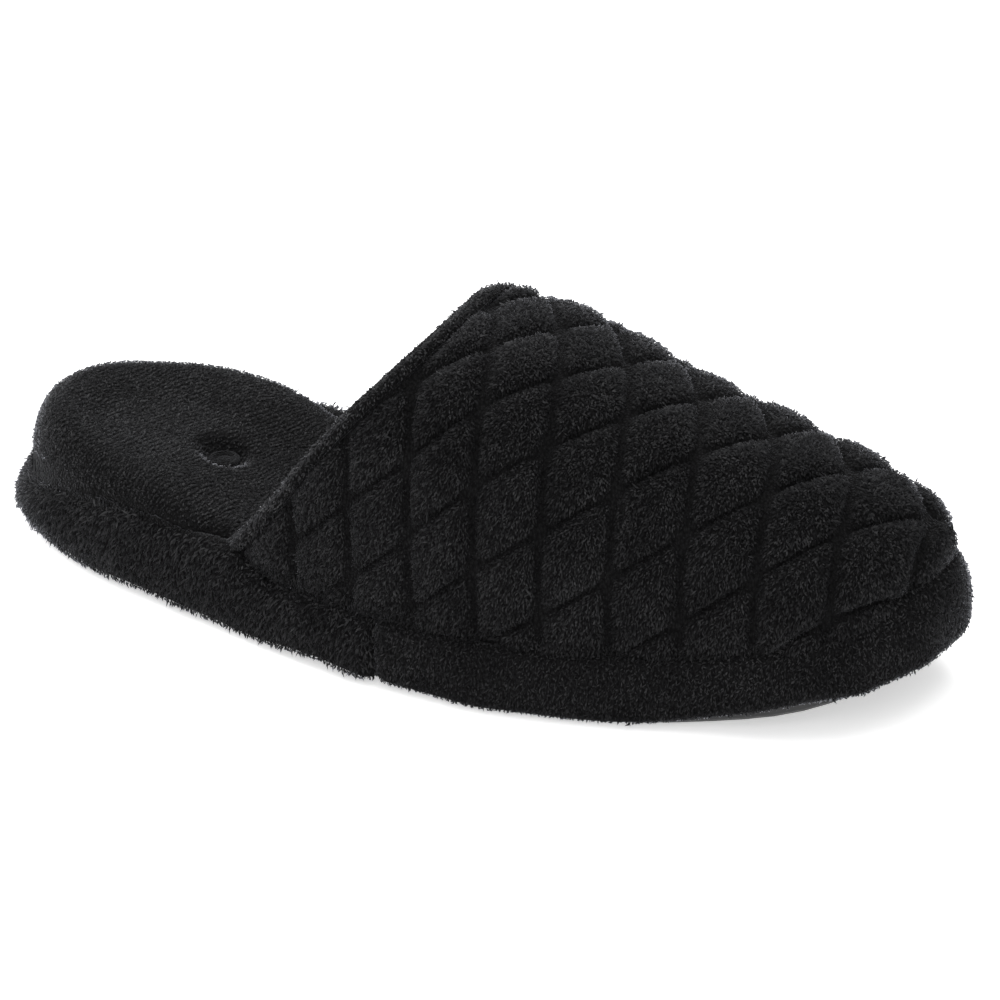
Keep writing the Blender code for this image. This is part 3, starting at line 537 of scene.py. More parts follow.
def quilt_puff(first, second, share, edge):
    """Height of the padding from 0 on a sewn line to 1, and the distance to the nearest line."""
    outer = smoothstep(1 + share / QUILT_STEEP_SPAN)
    steep = between(QUILT_FLOOR_FLAT, QUILT_FLOOR_STEEP, outer)
    floors = (steep, QUILT_FLOOR_FLAT + QUILT_FLOOR_STEEP - steep)
    away = []
    for count, floor in zip((first, second), floors):
        away.append(np.maximum(np.abs(count - np.rint(count)) * QUILT_WIDTH - floor, 0))
    plain = np.maximum(QUILT_OUTER_FIRST - first, QUILT_INNER_FIRST - second) * QUILT_WIDTH
    plain = plain - QUILT_FLOOR_STEEP
    nearest = -QUILT_MEET * np.log(sum(np.exp(-gap / QUILT_MEET) for gap in away))
    gap = np.maximum(np.where(plain > 0, plain, nearest), 0)
    shoulder = (1 - (1 - np.clip(gap / edge, 0, 1)) ** 2) ** QUILT_SHOULDER
    crown = np.abs(np.sin(pi * first) * np.sin(pi * second)) * (plain < 0)
    return shoulder * (1 - QUILT_CROWN) + crown * QUILT_CROWN, gap


def vamp_skin(form, fine=1):
    """Quilted outside of the vamp, from the hem to the tip of the nose."""
    sweep = np.linspace(0, pi / 2, VAMP_ROWS * fine + 1)[:, None]
    turn = np.linspace(0, pi, VAMP_COLUMNS * fine + 1)[None, :]
    start = throat_edge(turn) + HEM_WIDTH - HEM_OVERLAP
    along = VAMP_FOOT.end - (VAMP_FOOT.end - start) * (1 - np.sin(sweep))
    turn = np.broadcast_to(turn, along.shape)
    half, share = girth(along, turn)
    drift = sum(d.shift * np.exp(-(((along - d.along) / d.span) ** 2)) for d in QUILT_DRIFT)
    drift = drift + QUILT_RIDGE_SHIFT * np.exp(-((share / QUILT_RIDGE_SPAN) ** 2))
    first = quilt_line(along - drift, half, share, QUILT_OUTER_PHASE)
    second = quilt_line(along, half, -share, QUILT_INNER_PHASE)
    puff, gap = quilt_puff(first, second, share, form.quilt_edge / MM)
    cell = np.floor(first) * CELL_OUTER + np.floor(second) * CELL_INNER
    uneven = 1 + CELL_UNEVEN * np.sin(cell * CELL_SPREAD)
    foot_run = half * (1 - np.abs(share))
    hem_run = along - throat_edge(turn) - HEM_WIDTH
    fade = smoothstep(foot_run / QUILT_FADE_FOOT) * smoothstep(hem_run / QUILT_FADE_THROAT)
    smooth, normal = vamp_point(along, turn), vamp_normal(along, turn)
    relief = form.quilt_loft / MM * (puff * uneven - QUILT_LEVEL) * fade
    relief = np.where(relief > 0, relief * smoothstep(foot_run / QUILT_FLUSH), relief)
    relief += form.unevenness / MM * lumps(smooth, VAMP_LUMP, VAMP_SEED) - PILE_DEPTH
    relief -= HEM_TUCK * np.exp(-((np.maximum(hem_run, 0) / HEM_TUCK_RUN) ** 2))
    relief -= FOOT_TUCK * np.exp(-((foot_run / FOOT_TUCK_RUN) ** 2))
    gap = gap + FOOT_CLEAR * (1 - smoothstep(foot_run / FOOT_CLEAR_RUN))
    sewn = np.minimum(gap, np.minimum(hem_run, foot_run + FOOT_SEWN))
    points = smooth + normal * relief[..., None]
    return Skin(points, form=normal, sewn=sewn, outer=np.where(turn < pi / 2, 1.0, 0.0))


def front_profile(along):
    """Section of the front band: it hangs over the sole's edge, and leans in at the toe."""
    lean = TOE_LEAN * float(ramp(along, TOE_LEAN_START, LENGTH))
    hang = SKIRT * float(ramp(along, SKIRT_END, SKIRT_START))
    hang += TOE_SKIRT * float(ramp(along, TOE_SKIRT_START, TOE_SKIRT_END))
    rows = []
    for row in FRONT_BAND:
        low = hang * max(1 - row.rise / SKIRT_RISE, 0) * (row.inset < BAND_THICKNESS)
        inset = row.inset + lean * max(row.rise - TOE_LEAN_RISE, 0) / (1 - TOE_LEAN_RISE)
        rows.append((row.rise - low, inset - SKIRT_SPREAD * low * row.rise))
    return rows


def heel_profile(along):
    """Rise and inset of the heel band's section, lower where the heel is bare."""
    bare, sink = float(bare_heel(along)), float(heel_sink(along))
    swell = HEEL_SWELL * min(sink / HEEL_SINK, 1)
    side = float(ramp(along, HEEL_HANG_START, HEEL_HANG_END))
    hang = between(HEEL_LIFT, HEEL_HANG, side) / float(feather_height(along) - seat(along))
    rows = []
    for row in HEEL_BAND:
        rise = between(row.rise, row.bare_rise - sink * max(row.bare_rise, 0), bare)
        inset = between(row.inset, row.bare_inset, bare)
        low = min(max((HEEL_HANG_RISE - row.rise) / HEEL_HANG_FADE, 0), 1)
        low *= row.inset < BAND_THICKNESS
        out = between(swell * (1 - inset / BAND_THICKNESS), HEEL_SPREAD * side, low)
        rows.append((rise - hang * low, inset - out))
    return rows


def seam_counts():
    """Outline counts of the two side seams, where front and heel band meet."""
    plan = Plan(0)
    outer = np.interp(SIDE_SEAM_OUTER, plan.outer_side[:, 0], plan.counts[: plan.tip + 1])
    inner = np.interp(SIDE_SEAM_INNER, plan.inner_side[:, 0], plan.counts[plan.tip :][::-1])
    return outer, inner


def band_skin(profile, first, last, stations, form, seed):
    """A band's section swept along the outline, tucked in at the seams at its two ends."""
    counts = np.linspace(first, last, stations + 1)
    path, outward = read_round(OUTLINE, counts), unit(read_round(OUTWARD, counts))
    run = run_along(path)
    end_run = np.minimum(run, run[-1] - run)
    tuck = form.seam_tuck / MM * np.exp(-((end_run / SEAM_TUCK_RUN) ** 2))
    points = np.zeros((stations + 1, BAND_SAMPLES + 1, 3))
    outside = np.zeros((stations + 1, BAND_SAMPLES + 1))
    for i, (point, out) in enumerate(zip(path, outward)):
        rows = np.array(profile(point[0])) * (PROFILE_SPAN, 1)
        section = closed_spline(rows, BAND_SAMPLES) / (PROFILE_SPAN, 1)
        section = np.vstack([section, section[:1]])
        share = np.clip((section[:, 1] - TUCK_INSET) / TUCK_FADE, 0, 1)
        inset = section[:, 1] + tuck[i] * (1 - share)
        plan = point - out * inset[:, None]
        up = band_height(plan[:, 0], section[:, 0])
        points[i] = np.column_stack([plan, up])
        ledge, bare_ledge = vamp_inset(point[0]) + LOOPS_PAST_VAMP, BARE_LEDGE_INSET - LOOPS_BEFORE_LEDGE
        ledge = between(ledge, bare_ledge, bare_heel(point[0]))
        under = LOOPS_UNDER + LOOPS_UNDER_MORE * ramp(point[0], SKIRT_START, SKIRT_END)
        outside[i] = (inset < ledge) & ((inset < under) | (section[:, 0] > LOOPS_UNDER_RISE))
    skin = Skin(points)
    bulge = form.unevenness / MM * BAND_UNEVEN * lumps(points, BAND_LUMP, seed) * outside
    return Skin(points + skin.normals * bulge[..., None], outside=outside)


def band_skins(form):
    outer, inner = seam_counts()
    half_gap = GAP / 2 / np.linalg.norm(OUTLINE[1] - OUTLINE[0])
    ends = outer + half_gap, inner - half_gap
    front = band_skin(front_profile, *ends, FRONT_STATIONS, form, FRONT_SEED)
    ends = inner + half_gap, outer + OUTLINE_SAMPLES - half_gap
    heel = band_skin(heel_profile, *ends, HEEL_STATIONS, form, HEEL_SEED)
    return front, heel


def footbed_top(along):
    """Top of the footbed above the floor, a little fuller towards the back of the heel."""
    crown = FOOTBED_CROWN * ramp(along, FOOTBED_CROWN_RUN, 0)
    return platform_height(along) - FOOTBED_DROP + crown


def dimple_dent(along, aside):
    """Depth of the round dent at the heel end of the footbed."""
    away = np.hypot(along - DIMPLE_ALONG, aside - DIMPLE_ASIDE)
    return DIMPLE_DEPTH * smoothstep((DIMPLE_RADIUS - away) / DIMPLE_SLOPE)


def fill_round(curve, rows, columns):
    """A square grid drawn onto the inside of a round outline, closer together near its edge."""
    across = np.sin(np.linspace(-pi / 2, pi / 2, rows + 1))[:, None]
    aside = np.sin(np.linspace(-pi / 2, pi / 2, columns + 1))[None, :]
    x = across * np.sqrt(1 - aside**2 / 2)
    y = aside * np.sqrt(1 - across**2 / 2)
    low, high = curve.min(axis=0), curve.max(axis=0)
    middle, half = (low + high) / 2, (high - low) / 2
    spread = (curve - middle) / half
    angle = np.arctan2(spread[:, 1], spread[:, 0])
    order = np.argsort(angle)
    reach = np.linalg.norm(spread, axis=1)[order]
    far = np.interp(np.arctan2(y, x), angle[order], reach, period=2 * pi)
    return middle + np.stack([x * far, y * far], axis=-1) * half


def footbed_skin(form):
    """Top of the footbed: its roll falls with the distance from the rim, and its middle is dished."""
    bare = bare_heel(OUTLINE[:, 0])
    ledge_inset = between(BAND_THICKNESS, BARE_LEDGE_INSET, bare)
    low = 1 - heel_sink(OUTLINE[:, 0])
    ledge_rise = between(1.0, BARE_LEDGE_RISE * low, bare)
    rim_rise = between(RIM_RISE_FRONT, RIM_RISE_HEEL * low, bare)
    rim_drop = footbed_top(OUTLINE[:, 0]) - band_height(OUTLINE[:, 0], rim_rise)
    rim = Plan(between(BAND_THICKNESS, ledge_inset, rim_rise / ledge_rise) + FOOTBED_SIDE_GAP)
    edge = rim.curve[::EDGE_STEP]

    def surface(flat):
        along, aside = flat[..., 0], flat[..., 1]
        gap = np.linalg.norm(flat[:, :, None, :] - edge[None, None], axis=-1)
        inward, nearest = gap.min(axis=-1), gap.argmin(axis=-1)
        width = between(ROLL_WIDTH_FRONT, ROLL_WIDTH_HEEL, bare[::EDGE_STEP][nearest])
        up = footbed_top(along) - rim_drop[::EDGE_STEP][nearest] * roll_drop(inward / width)
        up -= FOOTBED_TUCK * smoothstep(1 - inward / FOOTBED_TUCK_RUN)
        up -= FOOTBED_DISH * smoothstep((inward - width) / DISH_RUN)
        points = np.stack([along, aside, up], axis=-1)
        uneven = form.unevenness / MM * FOOTBED_UNEVEN * lumps(points, FOOTBED_LUMP, FOOTBED_SEED)
        return up + uneven - dimple_dent(along, aside), inward

    flat = fill_round(rim.curve, FOOTBED_ROWS, FOOTBED_COLUMNS)
    up, inward = surface(flat)
    small = np.array([SMALL_RUN, 0.0])
    slope = [surface(flat - step)[0] - surface(flat + step)[0] for step in (small, small[::-1])]
    normals = np.stack([*slope, np.full(up.shape, 2 * small[0])], axis=-1)
    return Skin(np.concatenate([flat, up[..., None]], axis=-1), normals=normals, inward=inward)


def hem_section(form):
    """Run from the throat's edge and height over the vamp's form, round the hem's section."""
    top, under, bend = form.hem_proud / MM, HEM_UNDER, HEM_ROUND
    outside = [(bend / 4, top - bend * 0.7), (bend * 0.9, top)]
    outside += [(HEM_WIDTH - bend * 0.8, top - 0.1), (HEM_WIDTH, top - bend)]
    inside = [(HEM_WIDTH, under + bend), (HEM_WIDTH - bend, under), (bend, under)]
    inside += [(bend / 4, under + bend * 0.7)]
    return closed_spline([(0.0, (top + under) / 2)] + outside + inside, HEM_SAMPLES)


def hem_skin(form):
    """Folded hem along the throat, from the outer corner over the crest to the inner corner."""
    section = hem_section(form)
    section = np.vstack([section, section[:1]])
    turn = np.broadcast_to(np.linspace(0, pi, HEM_COLUMNS + 1), (HEM_SAMPLES + 1, HEM_COLUMNS + 1))
    place = throat_edge(turn) + section[:, :1]
    out = np.broadcast_to(section[:, 1:], turn.shape)
    normal = vamp_normal(place, turn)
    points = vamp_point(place, turn) + normal * out[..., None]
    points = points + normal * (HEM_UNEVEN * lumps(points, HEM_LUMP, HEM_SEED))[..., None]
    run = section[:, :1]
    outside = ((out > HEM_LOOPS_UNDER) | (run < HEM_LOOPS_FOLD)) & (run < HEM_WIDTH - HEM_LOOPS_BACK)
    return Skin(points, outside=outside.astype(float))


def metres(name, description, default):
    return FloatProperty(name=name, description=description, default=default, unit="LENGTH")


def colour(name, description, default):
    return FloatVectorProperty(
        name=name, description=description, default=default, subtype="COLOR", min=0, max=1, size=3
    )


class SlipperForm(bpy.types.PropertyGroup):
    """Sizes of the sewn and padded form."""

    quilt_loft: metres("Quilt loft", "How far a padded diamond stands over its sewn lines", 0.0026)
    quilt_edge: metres("Quilt edge", "Breadth of a diamond's rounded edge", 0.0046)
    unevenness: metres("Unevenness", "Soft unevenness of padding", 0.00025)
    seam_tuck: metres("Seam tuck", "How far the bands are drawn in at the side seams", 0.0016)
    hem_proud: metres("Hem", "How far the hem stands over the vamp", -0.0005)


class SlipperPile(bpy.types.PropertyGroup):
    """Sizes of the terry loops."""

    seed: IntProperty(name="Seed", description="Start of the random spread", default=11)
    vamp_spacing: metres("Vamp spacing", "Distance between the vamp's loops", 0.00060)
    band_spacing: metres("Band spacing", "Distance between the bands' loops", 0.00068)
    footbed_spacing: metres("Footbed spacing", "Distance between the footbed's loops", 0.00070)
    loop_length: metres("Loop length", "Length of a loop", 0.0012)
    loop_width: metres("Loop width", "Thickness of a loop", 0.00048)


class SlipperColours(bpy.types.PropertyGroup):
    """Colours of the fabrics and the sole."""

    # A loop's tone between pile dark and pile light is drawn at random, and pulled towards pile dark
    # near the sewn lines as painted shade
    pile_dark: colour("Pile, dark", "Loops that lie low", (0.0045, 0.0045, 0.0048))
    pile_light: colour("Pile, light", "Loops that stand up", (0.034, 0.034, 0.035))
    # The ground is darker than the loops: partly the fabric's own black, and partly painted shade
    # between the loops and in the sewn grooves
    ground: colour("Ground", "Fabric under the pile", (0.002, 0.002, 0.0021))
    sole: colour("Sole", "Outsole", (0.014, 0.014, 0.0145))
    floor: colour("Floor", "Stage floor", (0.86, 0.86, 0.86))


def new_grid(name, rows, columns):
    """A flat grid added at the origin, with the row and column of each of its points."""
    bpy.ops.object.select_all(action="DESELECT")
    bpy.ops.mesh.primitive_grid_add(x_subdivisions=rows, y_subdivisions=columns, size=2)
    piece = bpy.context.object
    piece.name = piece.data.name = name
    flat = read_points(piece.data)
    row = np.rint((flat[:, 0] + 1) / 2 * rows).astype(int)
    column = np.rint((flat[:, 1] + 1) / 2 * columns).astype(int)
    return piece, row, column


def read_points(mesh):
    points = np.zeros(len(mesh.vertices) * 3)
    mesh.vertices.foreach_get("co", points)
    return points.reshape(-1, 3)


def skin_piece(name, skin, wall=0.0, depth=0.0):
    """A grid moved onto a skin and welded, given a wall, a depth or closed at its open ends."""
    rows, columns = skin.points.shape[0] - 1, skin.points.shape[1] - 1
    piece, row, column = new_grid(name, rows, columns)
    points = (skin.points[row, column] - MIDDLE) * MM
    piece.data.vertices.foreach_set("co", points.ravel())
    piece.data.update()
    bpy.ops.object.mode_set(mode="EDIT")
    bpy.ops.mesh.select_all(action="SELECT")
    bpy.ops.mesh.remove_doubles(threshold=WELD)
    if depth:
        move = {"value": (0, 0, -depth * MM)}
        bpy.ops.mesh.extrude_region_move(TRANSFORM_OT_translate=move)
        bpy.ops.mesh.select_all(action="SELECT")
        bpy.ops.mesh.normals_make_consistent(inside=False)
    elif not wall:
        bpy.ops.mesh.fill_holes(sides=0)
    bpy.ops.object.mode_set(mode="OBJECT")
    if wall:
        thicken = piece.modifiers.new("wall", "SOLIDIFY")
        thicken.thickness = wall * MM
        thicken.offset = -1
        bpy.ops.object.modifier_apply(modifier=thicken.name)
    piece.data.shade_smooth()
    return piece


def new_loop():
    """One terry loop of unit length along Z: a ring drawn out to a point at both ends, and bent."""
    bpy.ops.object.select_all(action="DESELECT")
    bpy.ops.mesh.primitive_circle_add(vertices=LOOP_CORNERS, radius=0.5, fill_type="NOTHING")
    loop = bpy.context.object
    bpy.ops.object.mode_set(mode="EDIT")
    for end in (0.5, -0.5):
        select_points(loop, lambda co: abs(co.z) < 0.01)
        bpy.ops.mesh.extrude_edges_move(TRANSFORM_OT_translate={"value": (0, 0, end)})
        bpy.ops.mesh.merge(type="CENTER")
    select_points(loop, lambda co: abs(co.z) < 0.01)
    bpy.ops.transform.translate(value=(LOOP_BEND, 0, 0))
    bpy.ops.mesh.select_all(action="SELECT")
    bpy.ops.mesh.normals_make_consistent(inside=False)
    bpy.ops.object.mode_set(mode="OBJECT")
    return loop


def select_points(piece, test):
    """Selects a piece's points in edit mode by their place."""
    bpy.ops.object.mode_set(mode="OBJECT")
    bpy.context.tool_settings.mesh_select_mode = (True, False, False)
    for edge in piece.data.edges:
        edge.select = False
    for face in piece.data.polygons:
        face.select = False
    for vertex in piece.data.vertices:
        vertex.select = test(vertex.co)
    bpy.ops.object.mode_set(mode="EDIT")
    bpy.ops.mesh.select_mode(type="VERT")


def joined_copies(name, pattern, places, axes, sizes, normal, tone):
    """One mesh of many copies of a pattern, turned to their axes and lit partly as the surface is."""
    shape = read_points(pattern.data)
    corners = np.array([face.vertices[:] for face in pattern.data.polygons])
    stretched = shape[None] * sizes[:, None, :]
    points = np.einsum("nkj,nji->nki", stretched, axes) + places[:, None, :]
    points = (points.reshape(-1, 3) - MIDDLE) * MM
    offset = np.arange(len(places))[:, None, None] * len(shape)
    faces = (corners[None] + offset).reshape(-1, corners.shape[1])
    mesh = bpy.data.meshes.new(name)
    mesh.vertices.add(len(points))
    mesh.vertices.foreach_set("co", points.ravel())
    mesh.loops.add(faces.size)
    mesh.loops.foreach_set("vertex_index", faces.ravel().astype(np.int32))
    mesh.polygons.add(len(faces))
    starts = np.arange(len(faces), dtype=np.int32) * corners.shape[1]
    mesh.polygons.foreach_set("loop_start", starts)
    mesh.update(calc_edges=True)
    mesh.attributes.new("tone", "FLOAT", "POINT")
    mesh.attributes["tone"].data.foreach_set("value", np.repeat(tone, len(shape)).astype(np.float32))
    mesh.shade_smooth()
    own = np.einsum("kj,nji->nki", unit(shape), axes)
    lit = unit(between(own, normal[:, None, :], SURFACE_LIGHT).reshape(-1, 3))
    mesh.normals_split_custom_set_from_vertices(lit.tolist())
    piece = bpy.data.objects.new(name, mesh)
    bpy.context.scene.collection.objects.link(piece)
    return piece


def nap_axes(normal, lie, rise):
    """Axes of loops that lie along a direction and rise from the surface by an angle."""
    flat = unit(lie - normal * np.sum(lie * normal, axis=1)[:, None])
    long = flat * np.cos(rise)[:, None] + normal * np.sin(rise)[:, None]
    outward = normal * np.cos(rise)[:, None] - flat * np.sin(rise)[:, None]
    side = np.cross(long, outward)
    return np.stack([outward, side, long], axis=1)


def drawn_to_rows(places, normal, nap):
    """Places on the footbed moved towards wavy rows that run the way the nap lies."""
    across = np.array([-nap.lie[1], nap.lie[0], 0])
    count = places @ across / nap.row + ROW_WAVE * lumps(places, ROW_LUMP, ROW_SEED)
    move = across - normal * (normal @ across)[:, None]
    return places + move * ((np.rint(count) - count) * nap.row * ROW_PULL)[:, None]


def make_pile(name, pattern, skin, cover, spacing, nap, pile, rng):
    """Loops over a skin: lie is the way the nap falls and stray how far loops turn from it."""
    places, normal, form, masks = skin.scatter(spacing, cover, rng)
    number = len(places)
    if nap.row:
        places = drawn_to_rows(places, normal, nap)
    lie = np.array(nap.lie) + rng.normal(size=(number, 3)) * nap.stray
    rise = nap.rise + rng.normal(size=number) * nap.rise_spread
    rise = np.radians(np.clip(rise, RISE_LEAST, RISE_MOST))
    sewn = smoothstep(masks.get("sewn", np.full(number, SEWN_RUN)) / SEWN_RUN)
    pressed = between(SEWN_LENGTH, 1.0, sewn)
    tuft = rng.random(number) < TUFT_SHARE * sewn
    rise = np.where(tuft, np.maximum(rise, radians(TUFT_RISE)), rise)
    pressed = np.where(tuft, TUFT_LENGTH, pressed)
    length = pile.loop_length / MM * nap.length * pressed
    length = length * np.exp(rng.normal(size=number) * LOOP_SPREAD)
    width = pile.loop_width / MM * nap.width * np.exp(rng.normal(size=number) * LOOP_SPREAD)
    lift = LIFT_LONG * length * np.sin(np.maximum(rise, 0)) + LIFT_WIDE * width
    places = places + normal * lift[:, None]
    axes = nap_axes(normal, lie, rise)
    lowest = places[:, 2] - 0.5 * length * np.abs(axes[:, 2, 2]) - 0.5 * width
    places[:, 2] += np.maximum(FLOOR_GAP - lowest, 0)
    sizes = np.stack([width, width, length], axis=1)
    # Loops near the sewn lines are darkened here: painted shade in the grooves
    tone = rng.beta(TONE_LOW, TONE_HIGH, size=number) * between(SEWN_PAINTED_SHADE, 1.0, sewn)
    lit = between(normal, form, FORM_LIGHT)
    return joined_copies(name, pattern, places, axes, sizes, lit, tone)


def feed(tree, node, inputs):
    """Sets a node's inputs, each to a value or to the output that feeds it."""
    for name, value in inputs.items():
        if isinstance(value, bpy.types.NodeSocket):
            tree.links.new(value, node.inputs[name])
        else:
            node.inputs[name].default_value = value
    return node


def add_node(tree, kind, inputs):
    return feed(tree, tree.nodes.new("ShaderNode" + kind), inputs)


def object_place(tree):
    return add_node(tree, "TexCoord", {}).outputs["Object"]


def map_range(tree, value, low, high, start=0.0, end=1.0):
    """A value that runs from start to end, mapped onto the run from low to high."""
    ends = {"From Min": start, "From Max": end, "To Min": low, "To Max": high}
    return add_node(tree, "MapRange", {"Value": value, **ends}).outputs["Result"]


def new_group(name, inputs, outputs):
    """An empty shader node group with named sockets, its inputs' sockets and its output node."""
    group = bpy.data.node_groups.new(name, "ShaderNodeTree")
    for way, sockets in (("INPUT", inputs), ("OUTPUT", outputs)):
        for socket, kind in sockets.items():
            group.interface.new_socket(name=socket, in_out=way, socket_type="NodeSocket" + kind)
    return group, group.nodes.new("NodeGroupInput").outputs, group.nodes.new("NodeGroupOutput")


def nap_group():
    """Colour and gloss of terry: loops by their tone, partly random and partly painted shade near the
    sewn lines, and soft patches where the nap turns.
    """
    inputs = {"Dark": "Color", "Light": "Color", "Tone": "Float", "Patch Scale": "Float"}
    group, given, result = new_group("terry_nap", inputs, {"Color": "Color", "Roughness": "Float"})
    patch = {"Vector": object_place(group), "Scale": given["Patch Scale"], "Detail": 2.0}
    patch = add_node(group, "TexNoise", patch).outputs["Fac"]
    turn = map_range(group, patch, low=0.75, high=1.25, start=0.3, end=0.7)
    share = add_node(group, "Math", {0: given["Tone"], 1: turn})
    share.operation = "MULTIPLY"
    share.use_clamp = True
    share = share.outputs["Value"]
    mix = group.nodes.new("ShaderNodeMix")
    mix.data_type = "RGBA"
    feed(group, mix, {"Factor": share, "A": given["Dark"], "B": given["Light"]})
    gloss = map_range(group, share, low=0.95, high=0.62)
    feed(group, result, {"Color": mix.outputs["Result"], "Roughness": gloss})
    return group


def ground_group():
    """Knotty height of the ground fabric between the loops, and a tone that is lighter on the knots'
    tops: a painted highlight.
    """
    outputs = {"Height": "Float", "Tone": "Float"}
    group, given, result = new_group("terry_ground", {"Knots": "Vector"}, outputs)
    spread = add_node(group, "Mapping", {"Vector": object_place(group), "Scale": given["Knots"]})
    knots = {"Vector": spread.outputs["Vector"], "Scale": 1.0}
    knots = add_node(group, "TexVoronoi", knots).outputs["Distance"]
    height = add_node(group, "Math", {0: 1.0, 1: knots})
    height.operation = "SUBTRACT"
    # Lighter where the knots stand highest: painted highlight
    tone = map_range(group, knots, low=0.55, high=0.1, start=0.05, end=0.75)
    feed(group, result, {"Height": height.outputs["Value"], "Tone": tone})
    return group


def place_group(tree, name, build, inputs):
    """A node that places a group in a material: the group is built where it is first asked for."""
    node = tree.nodes.new("ShaderNodeGroup")
    node.node_tree = bpy.data.node_groups.get(name) or build()
    return feed(tree, node, inputs).outputs


def new_material(name):
    material = bpy.data.materials.get(name) or bpy.data.materials.new(name)
    material.use_nodes = True
    return material, material.node_tree, material.node_tree.nodes["Principled BSDF"]


def add_bump(tree, shader, height, distance, strength):
    bump = {"Height": height, "Distance": distance, "Strength": strength}
    feed(tree, shader, {"Normal": add_node(tree, "Bump", bump).outputs["Normal"]})


def set_terry(tree, shader, dark, light, tone):
    """Feeds a shader with the nap between two colours, by a tone that changes over the surface."""
    nap = {"Dark": [*dark, 1], "Light": [*light, 1], "Tone": tone, "Patch Scale": PATCH_SCALE}
    nap = place_group(tree, "terry_nap", nap_group, nap)
    feed(tree, shader, {"Base Color": nap["Color"], "Roughness": nap["Roughness"]})


def set_cloth(shader, sheen, specular):
    shader.inputs["Sheen Weight"].default_value = sheen
    shader.inputs["Sheen Roughness"].default_value = SHEEN_ROUGHNESS
    shader.inputs["Sheen Tint"].default_value = SHEEN_TINT
    shader.inputs["Specular IOR Level"].default_value = specular


def pile_material(name, colours, painted_light=1.0):
    """Terry loops: each loop's tone between the dark and the light colour, random and darkened near the
    sewn lines as painted shade; a factor lifts both colours, painted light for pieces that stand in
    stronger light.
    """
    material, tree, shader = new_material(name)
    tone = add_node(tree, "Attribute", {})
    tone.attribute_name = "tone"
    dark = [c * painted_light for c in colours.pile_dark]
    light = [c * painted_light for c in colours.pile_light]
    set_terry(tree, shader, dark, light, tone.outputs["Fac"])
    set_cloth(shader, PILE_SHEEN, PILE_SPECULAR)
    return material


def ground_material(name, colours, knots=FABRIC_KNOTS, shine=FABRIC_SHINE):
    """Ground fabric under the loops, knotted, and darker than they are: painted shade between the loops
    and in the sewn grooves.
    """
    material, tree, shader = new_material(name)
    ground = place_group(tree, "terry_ground", ground_group, {"Knots": knots})
    light = [c * shine for c in colours.pile_light]
    set_terry(tree, shader, colours.ground, light, ground["Tone"])
    add_bump(tree, shader, ground["Height"], distance=0.0006, strength=0.8)
    set_cloth(shader, GROUND_SHEEN * shine**0.5, GROUND_SPECULAR)
    return material


def dress(piece, material, slot, *nodes):
    """Gives a piece its material and its body, and hides the CAD nodes it stands for. The slot is not
    used.
    """
    piece.data.materials.clear()
    piece.data.materials.append(material)
    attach(piece, "root")
    if nodes:
        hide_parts(*nodes)


class SLIPPER_OT_vamp(bpy.types.Operator):
    """Makes the quilted vamp with its wadded wall"""

    bl_idname = "slipper.vamp"
    bl_label = "Vamp"

    def execute(self, context):
        scene = context.scene
        vamp = skin_piece("vamp", vamp_skin(scene.slipper_form), wall=WALL)
        material = ground_material("vamp_ground", scene.slipper_colours)
        dress(vamp, material, "quilted_terry", "upper")
        return {"FINISHED"}


class SLIPPER_OT_hem(bpy.types.Operator):
    """Makes the folded hem along the throat"""

    bl_idname = "slipper.hem"
    bl_label = "Throat hem"

    def execute(self, context):
        scene = context.scene
        hem = skin_piece("throat_hem", hem_skin(scene.slipper_form))
        material = ground_material("hem_ground", scene.slipper_colours)
        dress(hem, material, "hem_fabric", "throat_binding")
        return {"FINISHED"}


class SLIPPER_OT_bands(bpy.types.Operator):
    """Makes the front and the heel band of the platform"""

    bl_idname = "slipper.bands"
    bl_label = "Side bands"

    def execute(self, context):
        scene = context.scene
        front, heel = band_skins(scene.slipper_form)
        material = ground_material("band_ground", scene.slipper_colours)
        dress(skin_piece("front_band", front), material, "band_terry", "rand_front")
        dress(skin_piece("heel_band", heel), material, "heel_pile", "rand_heel")
        return {"FINISHED"}


class SLIPPER_OT_footbed(bpy.types.Operator):
    """Makes the cushioned footbed with its rolled rim and round dent"""

    bl_idname = "slipper.footbed"
    bl_label = "Footbed"

    def execute(self, context):
        scene = context.scene
        footbed = skin_piece("footbed", footbed_skin(scene.slipper_form), depth=FOOTBED_DEPTH)
        finish = scene.slipper_colours, FOOTBED_KNOTS, FOOTBED_SHINE
        material = ground_material("footbed_ground", *finish)
        dress(footbed, material, "footbed_terry", "insole")
        return {"FINISHED"}


